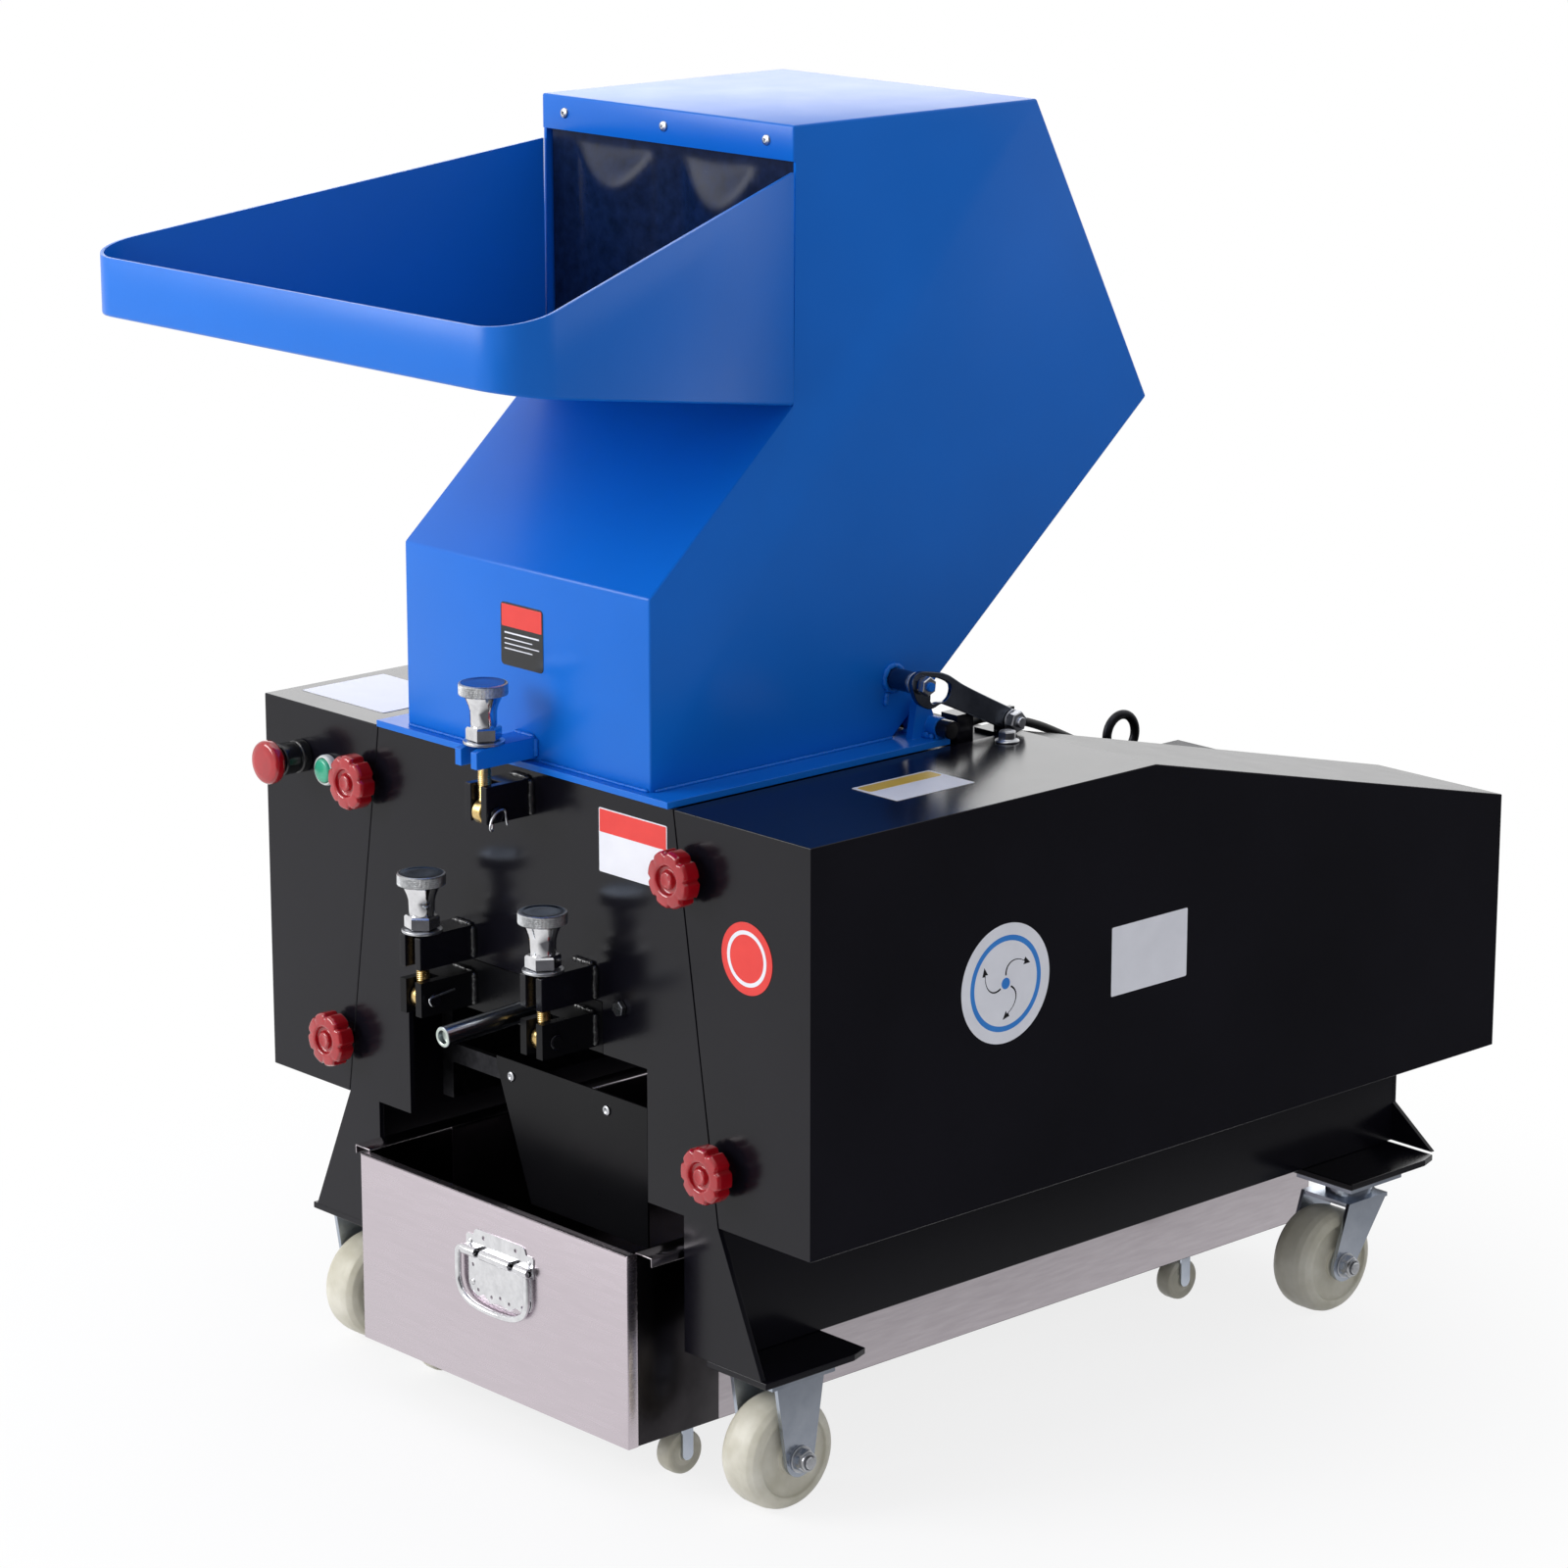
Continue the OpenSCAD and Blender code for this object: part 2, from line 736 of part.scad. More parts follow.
balance_rim = 22;
balance_web = 14;

module balance_wheel() color(dark) place() translate([-drive_x, rotor_y, rotor_z]) rotate([0, -90, 0])
    difference() {
        cylinder(d = balance_d, h = pulley_l);
        translate([0, 0, balance_web]) difference() {
            cylinder(d = balance_d - 2 * balance_rim, h = pulley_l);
            cylinder(d = shaft_d + 2 * balance_rim, h = pulley_l);
        }
        translate([0, 0, -over]) cylinder(d = shaft_d + 2 * fit_gap, h = pulley_l + 2 * over);
    }

motor_l = 240;
motor_x0 = -motor_l / 2;
motor_x1 = motor_l / 2;
fan_cover_l = 62;
fin_h = 12;
fins = 28;
fin_t = 3;
nose_l = 26;
box_w = 76;
box_l = 66;
box_rise = 125;
box_z = motor_h + box_rise;
lift_eye_d = 48;
lift_eye_t = 9;

// Section of the motor's finned body
module finned_outline() {
    circle(d = motor_d - 2 * fin_h);
    for (i = [0:fins - 1])
        rotate((i + 0.5) * 360 / fins) translate([0, -fin_t / 2]) square([motor_d / 2, fin_t]);
}

module motor_housing() color(dark) place() {
    difference() {
        union() {
            translate([motor_x0, motor_y, motor_h]) rotate([90, 0, 90])
                linear_extrude(motor_l) finned_outline();
            bar_x(motor_x1 - over, motor_x1 + nose_l, motor_y, motor_h, motor_d - fin_h);
            bar_x(motor_x1, motor_x1 + 1.5 * nose_l, motor_y, motor_h, motor_d / 2);
            bar_x(motor_x0 - fan_cover_l, motor_x0 + over, motor_y, motor_h, motor_d - fin_h);
            for (s = [-1, 1])
                block(
                    [motor_x0 + fin_h, motor_y + s * motor_d / 2.6 - fin_h, base_z],
                    [motor_x1 - fin_h, motor_y + s * motor_d / 2.6 + fin_h, motor_h - motor_d / 4]
                );
            block(
                [motor_x1 - box_w, motor_y - box_l / 2, motor_h],
                [motor_x1, motor_y + box_l / 2, box_z]
            );
            bar_z(motor_h, motor_h + motor_d / 2 + over, 0, motor_y, 8 * edge);
        }
        bar_x(motor_x1 / 2, motor_x1 + 2 * nose_l, motor_y, motor_h, motor_shaft_d + 2 * fit_gap);
    }
    translate([0, motor_y, motor_h + motor_d / 2 + over + lift_eye_d / 2 - edge]) rotate([90, 0, 90])
        rotate_extrude() translate([(lift_eye_d - lift_eye_t) / 2, 0]) circle(d = lift_eye_t);
    bar_x(motor_x1, motor_x1 + 3 * edge, cable_end_y, cable_end_z, cable_d + 2 * edge);
}

module motor_pulley() color(steel) place() translate([0, motor_y, motor_h]) {
    bar_x(motor_x1 / 2 + over, drive_end, 0, 0, motor_shaft_d);
    grooved_pulley(motor_pulley_d, motor_shaft_d - over);
}

// The face that an open belt encloses round two pulleys of radii r1 and r2, d apart along +X
module belt_face(r1, r2, d) {
    a = acos((r1 - r2) / d);
    circle(r = r1);
    translate([d, 0]) circle(r = r2);
    polygon([
        r1 * [cos(a), sin(a)], r1 * [cos(a), -sin(a)],
        [d, 0] + r2 * [cos(a), -sin(a)], [d, 0] + r2 * [cos(a), sin(a)]
    ]);
}

module drive_belts() color(painted) place() {
    span = [motor_y - rotor_y, motor_h - rotor_z];
    r1 = pulley_d / 2 - groove_depth + seat_gap;
    r2 = motor_pulley_d / 2 - groove_depth + seat_gap;
    for (i = [0:belt_count - 1])
        translate([drive_x + (i + 0.5) * groove_pitch - belt_w / 2, rotor_y, rotor_z])
            rotate([90, 0, 90]) rotate([0, 0, atan2(span[1], span[0])])
                linear_extrude(belt_w) difference() {
                    belt_face(r1 + belt_h, r2 + belt_h, norm(span));
                    belt_face(r1, r2, norm(span));
                }
}

rib_t = 12;
rib_inset = 6;
rib_x = chamber_half - rib_t - rib_inset;
rib_in = screen_r + screen_t;
rib_h = 15;
rib_out = rib_in + rib_h;
beam_h = 28;
beam_drop = 66;
beam_z = rotor_z - beam_drop;
rail_w = 12;
beam_in = sqrt(pow(rib_in, 2) - pow(rotor_z - beam_z - beam_h, 2)) + over;

// A lower half ring about the rotor's axis
module half_ring(x0, x1, r0, r1) translate([x0, rotor_y, rotor_z]) rotate([0, 90, 0]) rotate([0, 0, -90])
    rotate_extrude(angle = 180) translate([r0, 0]) square([r1 - r0, x1 - x0]);

module screen_cradle() color(painted) place() {
    difference() {
        block([-cradle_half, 0, opening_h + cradle_gap], [cradle_half, cradle_plate_t, cradle_top]);
        translate([handle_x, 0, handle_z]) rotate([-90 + handle_tilt, 0, 0])
            cylinder(d = handle_d / 2, h = 2 * cradle_plate_t + over);
    }
    both_sides() translate([lug_x, 0, 0])
        pin_lug(lug_reach, low_pin_y, low_pin_z, low_lug_z0, low_lug_z0 + low_lug_h);
    both_sides() half_ring(rib_x, rib_x + rib_t, rib_in, rib_out);
    block(
        [-rib_x - rib_t, chamber_y - edge, beam_z],
        [rib_x + rib_t, rotor_y - beam_in, beam_z + beam_h]
    );
    block(
        [-rib_x - rib_t, rotor_y + beam_in, beam_z],
        [rib_x + rib_t, chamber_y1 - edge, beam_z + beam_h]
    );
    both_sides() {
        along_x(lug_x, lug_x + rail_w, [
            [cradle_plate_t, cradle_top - beam_h], [chamber_y - edge, beam_z],
            [chamber_y - edge, beam_z + beam_h], [cradle_plate_t, cradle_top]
        ]);
        bar_x(rib_x, chamber_half + end_plate_t / 2, cradle_pin_y, cradle_pin_z, cradle_pin_d);
        block(
            [rib_x, cradle_pin_y - cradle_pin_d / 2, cradle_pin_z],
            [rib_x + rib_t, cradle_pin_y + cradle_pin_d / 2, beam_z + over]
        );
    }
}

screen_rows = 7;
screen_cols = 11;

module screen() color(steel) place() difference() {
    half_ring(-chamber_half + knife_end_gap, chamber_half - knife_end_gap, screen_r, screen_r + screen_t);
    for (i = [0:screen_cols - 1], j = [0:screen_rows - 1])
        translate([chamber_w * (i - (screen_cols - 1) / 2) / (screen_cols + 1), rotor_y, rotor_z])
            rotate([180 + 160 * (j - (screen_rows - 1) / 2) / screen_rows, 0, 0])
                translate([0, 0, screen_r - screen_t]) cylinder(d = screen_hole_d, h = 3 * screen_t);
}

handle_x = 48;
handle_rise = 36;
handle_z = opening_h + handle_rise;
handle_tilt = -3;
handle_bore = 8;

module cradle_handle() color(steel) place() difference() {
    translate([handle_x, 0, handle_z]) rotate([90 + handle_tilt, 0, 0]) {
        translate([0, 0, 0.5 * over]) cylinder(d = handle_d, h = handle_reach);
        translate([0, 0, -cradle_plate_t])
            cylinder(d = handle_d / 2 - 2 * fit_gap, h = cradle_plate_t + over);
    }
    translate([handle_x, 0, handle_z]) rotate([90 + handle_tilt, 0, 0])
        translate([0, 0, handle_reach * 0.7]) cylinder(d = handle_bore, h = handle_reach);
}

baffle_half = 80;
baffle_t = 2;
baffle_rise = 6;

module baffle() color(painted) place() {
    block(
        [-baffle_half, chamber_y - baffle_t, bin_h + baffle_rise],
        [baffle_half, chamber_y, tie_z]
    );
}

flange_z = body_h + flange_t;
hopper_outline = [
    [heel_y, flange_z], [heel_y1, heel_z1], [rear_y, rear_h], [crown_y, hopper_h],
    [mouth_y, hopper_h], [mouth_y, mouth_low], [hopper_y, neck_h], [hopper_y, flange_z]
];
// The same outline run on below the flange, so that the shell stays open there
hopper_long = concat(
    [[heel_y, flange_z] + ([heel_y, flange_z] - [heel_y1, heel_z1])],
    [for (i = [1:6]) hopper_outline[i]],
    [[hopper_y, flange_z - heel_rise]]
);
hopper_half = hopper_w / 2;
boss_d = 19;
stay_out = stay_x + stay_t + stay_gap;

module hopper_shell() color(blue) place() {
    difference() {
        along_x(-hopper_half, hopper_half, hopper_outline);
        along_x(-hopper_half + hopper_t, hopper_half - hopper_t, inset(hopper_long, hopper_t));
        block(
            [-hopper_half + hopper_t, mouth_y - over, mouth_low + hopper_t],
            [hopper_half - hopper_t, mouth_y + hopper_t + over, hopper_h - band]
        );
    }
    bar_x(hopper_half, stay_x - stay_gap, stud_y, stud_z, boss_d);
    bar_x(stay_x - stay_gap, stay_out, stud_y, stud_z, stud_d);
    translate([stay_out, stud_y, stud_z]) rotate([0, 90, 0])
        cylinder(d = 1.7 * stud_d, h = stud_d / 2, $fn = 6);
    bar_x(stay_out, stay_out + stud_d, stud_y, stud_z, stud_d);
}

tray_half = tray_w / 2;
tray_bl = [-tray_half, -tray_reach];
tray_br = [tray_half, -tray_reach];
tray_rl = [-hopper_half, mouth_y];
tray_rr = [hopper_half, mouth_y];
tray_plan = concat(
    [tray_rr, tray_rl],
    corner(tray_rl, tray_bl, tray_br, tray_corner_r, 10),
    corner(tray_bl, tray_br, tray_rr, tray_corner_r, 10)
);

// Slope of the tray's floor towards the mouth, and the inside of the tray run on past it
tray_slope = (mouth_low - tray_low) / (mouth_y + tray_reach);
tray_run = 2 * hopper_t;

module feed_tray() color(blue) place() difference() {
    intersection() {
        translate([0, 0, mouth_low]) linear_extrude(hopper_h - mouth_low) polygon(tray_plan);
        along_x(-tray_w, tray_w, [
            [-tray_reach - over, tray_low], [mouth_y, mouth_low],
            [mouth_y, tray_rear_h], [-tray_reach - over, tray_h]
        ]);
    }
    intersection() {
        translate([0, 0, mouth_low]) linear_extrude(hopper_h - mouth_low) union() {
            polygon(inset(tray_plan, hopper_t));
            translate([-hopper_half + hopper_t, mouth_y - tray_run])
                square([hopper_w - 2 * hopper_t, tray_run + over]);
        }
        along_x(-tray_w, tray_w, [
            [-tray_reach, tray_low + hopper_t], [mouth_y + over, mouth_low + hopper_t + tray_slope * over],
            [mouth_y + over, hopper_h], [-tray_reach, hopper_h]
        ]);
    }
}

flange_rear = 6;
flange_y1 = hinge_y + flange_rear;
gusset_t = 8;
gusset_l = 24;
gusset_set = 4;
gusset_neck = 18;

module hopper_flange() color(blue) place() {
    difference() {
        block([-flange_w / 2, -flange_reach, body_h], [flange_w / 2, flange_y1, flange_z]);
        block(
            [-chamber_half, chamber_y + chamber_wall_t, body_h - over],
            [chamber_half, chamber_y1 - chamber_wall_t, flange_z + over]
        );
    }
    forked_lug(
        lug_outline(fork_lug_reach, fork_lug_z0, fork_lug_top, top_pin_y, top_pin_z, hopper_y),
        fork_lug_reach, top_pin_y, fork_lug_z0, fork_lug_top
    );
    both_sides() difference() {
        union() {
            bar_x(barrel_x0, barrel_x1, hinge_y, hinge_z, barrel_d);
            block([barrel_x0, hinge_y - barrel_d / 3, flange_z], [barrel_x1, flange_y1 - over, hinge_z]);
            along_x(barrel_x1 - 2.5 * gusset_t, barrel_x1 - 1.5 * gusset_t, [
                [hinge_y - gusset_l, flange_z], [hinge_y, flange_z], [hinge_y + barrel_d / 3, hinge_z],
                [hinge_y - gusset_set, hinge_z + gusset_l], [hinge_y - gusset_neck, hinge_z + gusset_l]
            ]);
        }
        bar_x(barrel_x0 - over, barrel_x1 + over, hinge_y, hinge_z, hinge_rod_d + 2 * fit_gap);
    }
}

curtain_y = mouth_y + hopper_t + seat_gap;
curtain_gap = 2;
curtain_top = hopper_h - hopper_t - curtain_gap;
curtain_side_gap = 3;
curtain_rise = 10;

module mouth_curtain() color(painted) place() {
    block(
        [-hopper_half + hopper_t + curtain_side_gap, curtain_y, mouth_low + curtain_rise],
        [hopper_half - hopper_t - curtain_side_gap, curtain_y + curtain_t, curtain_top]
    );
}

ear_gap = 4;
ear_x = barrel_x0 - ear_gap;
ear_t = 12;
ear_d = 17;
ear_r = ear_d / 2;
ear_setback = 8;
ear_y0 = hinge_y + ear_setback;
ear_foot = 32;
ear_y1 = hinge_y + ear_foot;
deck_top = deck_z + deck_t;
switch_setback = 18;
switch_y = hinge_y + switch_setback;
switch_l = 20;
switch_w = 20;
switch_h = 27;
switch_x = 171;
stay_ear_t = 6;
stay_ear_half = 10;

module hinge_brackets() color(painted) place() {
    both_sides() {
        along_x(ear_x - ear_t, ear_x, [
            [hinge_y, hinge_z], [ear_y0, hinge_z - over], [ear_y0, deck_top], [ear_y1, deck_top],
            [ear_y1, deck_top + edge], [hinge_y + 0.7 * ear_r, hinge_z + 0.7 * ear_r]
        ]);
        bar_x(ear_x - ear_t, ear_x, hinge_y, hinge_z, 2 * ear_r);
        bar_x(barrel_x1 + seat_gap, rod_end_x, hinge_y, hinge_z, 1.6 * hinge_rod_d);
    }
    bar_x(-rod_end_x, rod_end_x, hinge_y, hinge_z, hinge_rod_d);
    block(
        [switch_x, switch_y, deck_top],
        [switch_x + switch_w, switch_y + switch_l, deck_top + switch_h]
    );
    stay_ear_x = stay_x - stay_gap;
    block(
        [stay_ear_x - stay_ear_t, stay_y - stay_ear_half, deck_top],
        [stay_ear_x, stay_y + stay_ear_half, stay_z + stay_ear_half]
    );
    block(
        [stay_ear_x - 5 * stay_ear_t, stay_y - stay_ear_half, deck_top],
        [stay_ear_x, stay_y + stay_ear_half, deck_top + edge]
    );
    bar_x(stay_ear_x - over, stay_out + seat_gap, stay_y, stay_z, pivot_d);
    translate([stay_x + stay_t + seat_gap, stay_y, stay_z]) rotate([0, 90, 0])
        cylinder(d = 1.9 * stud_d, h = stud_d, $fn = 6);
}

shank_w = 15;
stay_wall = 7;
stay_slot_play = 5;
stay_slot_w = stud_d + stay_slot_play;

module stay_arm() color(dark) place() translate([stay_x, stay_y, stay_z])
    rotate([stay_angle, 0, 0]) rotate([90, 0, 90]) difference() {
        linear_extrude(stay_t) difference() {
            union() {
                circle(d = stay_head_w * 0.66);
                translate([0, -shank_w / 2]) square([stay_reach - stay_slot_l, shank_w]);
                translate([stay_reach - stay_slot_l - stay_wall - stud_d, -stay_head_w / 2])
                    square([stay_slot_l + stay_wall + stud_d, stay_head_w]);
                translate([stay_reach, 0]) circle(d = stay_head_w);
            }
            circle(d = pivot_d + 2 * fit_gap);
            for (u = [stay_reach - stay_slot_l, stay_reach]) translate([u, 0]) circle(d = stay_slot_w);
            translate([stay_reach - stay_slot_l, -stay_slot_w / 2]) square([stay_slot_l, stay_slot_w]);
        }
    }

// The interlock switch's cable, clipped between the switch and the motor's terminal box
cable_d = 8;
cable_end_y = 747;
cable_end_z = 494;
cable_route = [
    [181, 356, 616], [181, 372, 618], [181, 390, 617], [181, 408, 613], [181, 428, 607],
    [181, 450, 599], [181, 474, 588], [182, 498, 576], [183, 524, 562], [184, 550, 549],
    [185, 578, 537], [186, 606, 526], [186, 634, 517], [185, 662, 509], [181, 690, 503],
    [173, 714, 498], [161, 733, 495], [147, 744, 494], [132, 747, 494]
];
cable_sides = 10;

// One ring of points round a route point
function ring(p, t, d, n) =
    let (s = unit(cross(t, [0, 0, 1])), u = cross(s, t))
    [for (k = [0:n - 1]) p + d / 2 * (cos(360 * k / n) * s + sin(360 * k / n) * u)];

// A closed tube along a route
module tube(route, d, n) {
    last = len(route) - 1;
    points = [
        for (i = [0:last])
            each ring(route[i], unit(route[min(i + 1, last)] - route[max(i - 1, 0)]), d, n)
    ];
    sides = [
        for (i = [0:last - 1], k = [0:n - 1])
            let (a = i * n + k, b = i * n + (k + 1) % n)
            each [[a, a + n, b + n], [a, b + n, b]]
    ];
    caps = [
        for (k = [1:n - 2])
            each [[0, k, k + 1], [last * n, last * n + k + 1, last * n + k]]
    ];
    polyhedron(points, concat(sides, caps));
}

module switch_cable() color(painted) place() tube(cable_route, cable_d, cable_sides);

// Side outline of a cover of length l
function cover_side(l) = [[0, body_low], [l, body_low], [l, top_z(l)], [ridge_y, body_h], [0, body_h]];

notch_play = 2;
notch_d = knob_stud_d + notch_play;

// A cover of length l on the right side
module cover(l) difference() {
    intersection() {
        along_y(0, l, [
            [seam_half + seam_gap, body_low], [body_half, body_low],
            [body_half, body_h], [deck_half + seam_gap, body_h]
        ]);
        along_x(0, body_half, cover_side(l));
    }
    along_x(0, body_half - cover_t, inset(cover_side(l), cover_t));
    for (p = [[knob_top_x, knob_top_z], [knob_low_x, knob_low_z]]) {
        bar_y(-over, cover_t + over, p[0], p[1], notch_d);
        block(
            [p[0] - 2 * knob_inset, -over, p[1] - notch_d / 2],
            [p[0], cover_t + over, p[1] + notch_d / 2]
        );
    }
}

// The left cover's rear wall stops at the side plate, which runs on behind it
module left_cover() color(painted) place() mirror([1, 0, 0]) difference() {
    cover(left_cover_l);
    block(
        [0, left_cover_l - cover_t - over, body_low - over],
        [side_half + seam_gap, left_cover_l + over, top_z(left_cover_l) - 2 * cover_t]
    );
}
module right_cover() color(painted) place() cover(body_d);

knob_back = 8;
knob_face = 26;
knob_neck_d = 20;

// A star knob on its stud, facing the front
module knob(x, z) color(red) place() translate([x, 0, z]) {
    difference() {
        bar_y(-knob_face, -knob_back, 0, 0, knob_d);
        for (i = [0:knob_lobes - 1])
            rotate([0, 360 * (i + 0.5) / knob_lobes, 0])
                bar_y(-knob_face - over, -knob_back + over, knob_d / 2 + knob_d * 0.05, 0, knob_d * 0.22);
    }
    bar_y(-knob_back, -seat_gap, 0, 0, knob_neck_d);
    bar_y(-knob_back, panel_t + tab_t + 2 * edge, 0, 0, knob_stud_d);
}

module knob_left_top() knob(-knob_top_x, knob_top_z);
module knob_left_low() knob(-knob_low_x, knob_low_z);
module knob_right_top() knob(knob_top_x, knob_top_z);
module knob_right_low() knob(knob_low_x, knob_low_z);

button_shift = 3;
stop_z = body_h - button_drop + button_shift;
start_z = body_h - button_drop - button_shift;
stop_face = 48;
stop_head_h = 12;
barrel_l = 29;
stop_barrel_d = 30;
stop_stem_d = 16;
stop_travel = 5;
stem_back = 2;
base_floor = 1;
start_d = 22;
bezel_d = 28;
bezel_h = 8;
start_face = 11;
start_travel = 3;
start_gap = 1;
start_dome = 2;

module stop_button() color(red) place() translate([-stop_x, 0, stop_z]) rotate([90, 0, 0]) {
    translate([0, 0, stop_face - stop_head_h]) rotate_extrude() polygon([
        [0, 0], [0.42 * stop_d, 0], [0.5 * stop_d, 0.25 * stop_head_h], [0.5 * stop_d, 0.6 * stop_head_h],
        [0.44 * stop_d, 0.9 * stop_head_h], [0.36 * stop_d, stop_head_h], [0, stop_head_h]
    ]);
    translate([0, 0, stop_travel + stem_back])
        cylinder(d = stop_stem_d, h = stop_face - stop_head_h - stop_travel);
}

module start_button() color("seagreen") place() translate([-start_x, 0, start_z]) rotate([90, 0, 0])
    rotate_extrude() polygon([
        [0, start_travel + start_gap], [start_d / 2, start_travel + start_gap],
        [start_d / 2, start_face - start_dome],
        [0.42 * start_d, start_face - start_dome / 2], [0.25 * start_d, start_face], [0, start_face]
    ]);

module button_bases() color(dark) place() {
    translate([-stop_x, 0, stop_z]) rotate([90, 0, 0]) difference() {
        cylinder(d = stop_barrel_d, h = barrel_l);
        translate([0, 0, base_floor]) cylinder(d = stop_stem_d + 2 * fit_gap, h = barrel_l);
    }
    translate([-start_x, 0, start_z]) rotate([90, 0, 0]) difference() {
        cylinder(d = bezel_d, h = bezel_h);
        translate([0, 0, start_travel / 6]) cylinder(d = start_d + 2 * fit_gap, h = bezel_h);
    }
}

shank_past_washer = 36;
washer_play = 1;

// An eyebolt that hangs on a clevis pin and stands up through a forked lug
module eyebolt(x, pin_y, pin_z, clamp_z) color(brass) place() translate([x, pin_y, pin_z])
    difference() {
        union() {
            bar_x(-eye_w / 2, eye_w / 2, 0, 0, eye_d);
            cylinder(d = bolt_d, h = clamp_z - pin_z + washer_t + shank_past_washer);
        }
        bar_x(-eye_w, eye_w, 0, 0, pin_d + 2 * fit_gap);
    }

// A plain washer on a clamped lug
module bolt_washer(x, pin_y, clamp_z) color(steel) place() translate([x, pin_y, clamp_z + seat_gap])
    difference() {
        cylinder(d = washer_d, h = washer_t);
        translate([0, 0, -over]) cylinder(d = bolt_d + washer_play, h = washer_t + 2 * over);
    }

nut_hex_h = 12;
nut_head_h = 10.5;
nut_neck_d = 23.5;
nut_flare_h = 4;
nut_edge = 1;
thread_end = 2;

// A hand nut: hexagon, flared neck and round head
module hand_nut(x, pin_y, clamp_z) color(steel) place()
    translate([x, pin_y, clamp_z + washer_t + 2 * seat_gap]) difference() {
        union() {
            cylinder(d = nut_flats / cos(30), h = nut_hex_h, $fn = 6);
            rotate_extrude() polygon([
                [0, 0], [nut_neck_d / 2, 0], [nut_neck_d / 2, 0.5 * nut_h],
                [0.58 * nut_neck_d, nut_h - nut_head_h - nut_flare_h], [0.7 * nut_neck_d, nut_h - nut_head_h],
                [nut_head_d / 2 - nut_edge, nut_h - nut_head_h],
                [nut_head_d / 2, nut_h - nut_head_h + nut_edge],
                [nut_head_d / 2, nut_h - 2 * nut_edge], [nut_head_d / 2 - 2 * nut_edge, nut_h], [0, nut_h]
            ]);
        }
        translate([0, 0, -over]) cylinder(d = bolt_d + 2 * fit_gap, h = shank_past_washer + over + thread_end);
    }

module top_eyebolt() eyebolt(0, top_pin_y, top_pin_z, fork_lug_top);
module left_eyebolt() eyebolt(-lug_x, low_pin_y, low_pin_z, high_lug_top);
module right_eyebolt() eyebolt(lug_x, low_pin_y, low_pin_z, high_lug_top);
module top_washer() bolt_washer(0, top_pin_y, fork_lug_top);
module left_washer() bolt_washer(-lug_x, low_pin_y, high_lug_top);
module right_washer() bolt_washer(lug_x, low_pin_y, high_lug_top);
module top_hand_nut() hand_nut(0, top_pin_y, fork_lug_top);
module left_hand_nut() hand_nut(-lug_x, low_pin_y, high_lug_top);
module right_hand_nut() hand_nut(lug_x, low_pin_y, high_lug_top);

// One fork cheek: wide at the top, round at the axle
module cheek(x0, x1, y_top0, y_top1, y_axle, z_top) translate([x0, 0, 0]) rotate([90, 0, 90])
    linear_extrude(x1 - x0) {
        translate([y_axle, wheel_z]) circle(r = fork_end_r);
        polygon([
            [y_axle - fork_end_r, wheel_z], [y_axle + fork_end_r, wheel_z],
            [y_top1, z_top], [y_top0, z_top]
        ]);
    }

axle_end = 10;

// An axle with its nut, through both cheeks
module axle(y) {
    bar_x(caster_x - fork_x - fork_t - edge, caster_x + fork_x + fork_t + axle_end, y, wheel_z, axle_d);
    translate([caster_x + fork_x + fork_t, y, wheel_z]) rotate([0, 90, 0])
        cylinder(d = 1.8 * axle_d, h = 0.6 * axle_d, $fn = 6);
}

fork_plate_half_y = 36;
fork_shift = 6;
king_end = 2;
king_d = 12;
race_d = 44;
race_z = fork_plate_z - seat_gap;
crown_z = fork_plate_z - crown_drop;

module caster_mounts() color(steel) place() both_sides() {
    block(
        [caster_x - fork_x - 2 * fork_t, front_wheel_y - fork_plate_half_y, fork_plate_z],
        [caster_x + fork_x + 2 * fork_t, front_wheel_y + fork_plate_half_y, fork_plate_z + fork_t]
    );
    for (s = [-1, 1]) {
        x = caster_x + s * (fork_x + fork_t / 2);
        cheek(
            x - fork_t / 2, x + fork_t / 2, front_wheel_y - fork_top_half,
            front_wheel_y + fork_top_half, front_wheel_y, fork_plate_z
        );
    }
    axle(front_wheel_y);
    block(
        [caster_x - fork_x - 2 * fork_t, swivel_y - fork_plate_half_y, fork_plate_z],
        [caster_x + fork_x + 2 * fork_t, swivel_y + fork_plate_half_y, fork_plate_z + fork_t]
    );
    bar_z(crown_z - fork_t - king_end, fork_plate_z, caster_x, swivel_y, king_d);
}

// A rear fork that swivels under its plate
module swivel_fork() {
    difference() {
        union() {
            bar_z(crown_z, race_z, caster_x, swivel_y, race_d);
            bar_z(crown_z - fork_t, crown_z, caster_x, swivel_y, 2 * fork_x);
            block(
                [caster_x - fork_x - fork_t, swivel_y - fork_top_half - fork_shift, crown_z - fork_t],
                [caster_x + fork_x + fork_t, swivel_y + fork_top_half - fork_shift, crown_z]
            );
        }
        bar_z(crown_z - fork_t - over, race_z + over, caster_x, swivel_y, king_d + 2 * fit_gap);
    }
    for (s = [-1, 1]) {
        x = caster_x + s * (fork_x + fork_t / 2);
        cheek(
            x - fork_t / 2, x + fork_t / 2, swivel_y - fork_top_half - fork_shift,
            swivel_y + fork_top_half - fork_shift, rear_wheel_y, crown_z
        );
    }
    axle(rear_wheel_y);
}

module left_swivel_fork() color(steel) place() mirror([1, 0, 0]) swivel_fork();
module right_swivel_fork() color(steel) place() swivel_fork();

tread_r = 14;
hub_play = 2;
hub_w = wheel_w + hub_play;
hub_d = 31.2;

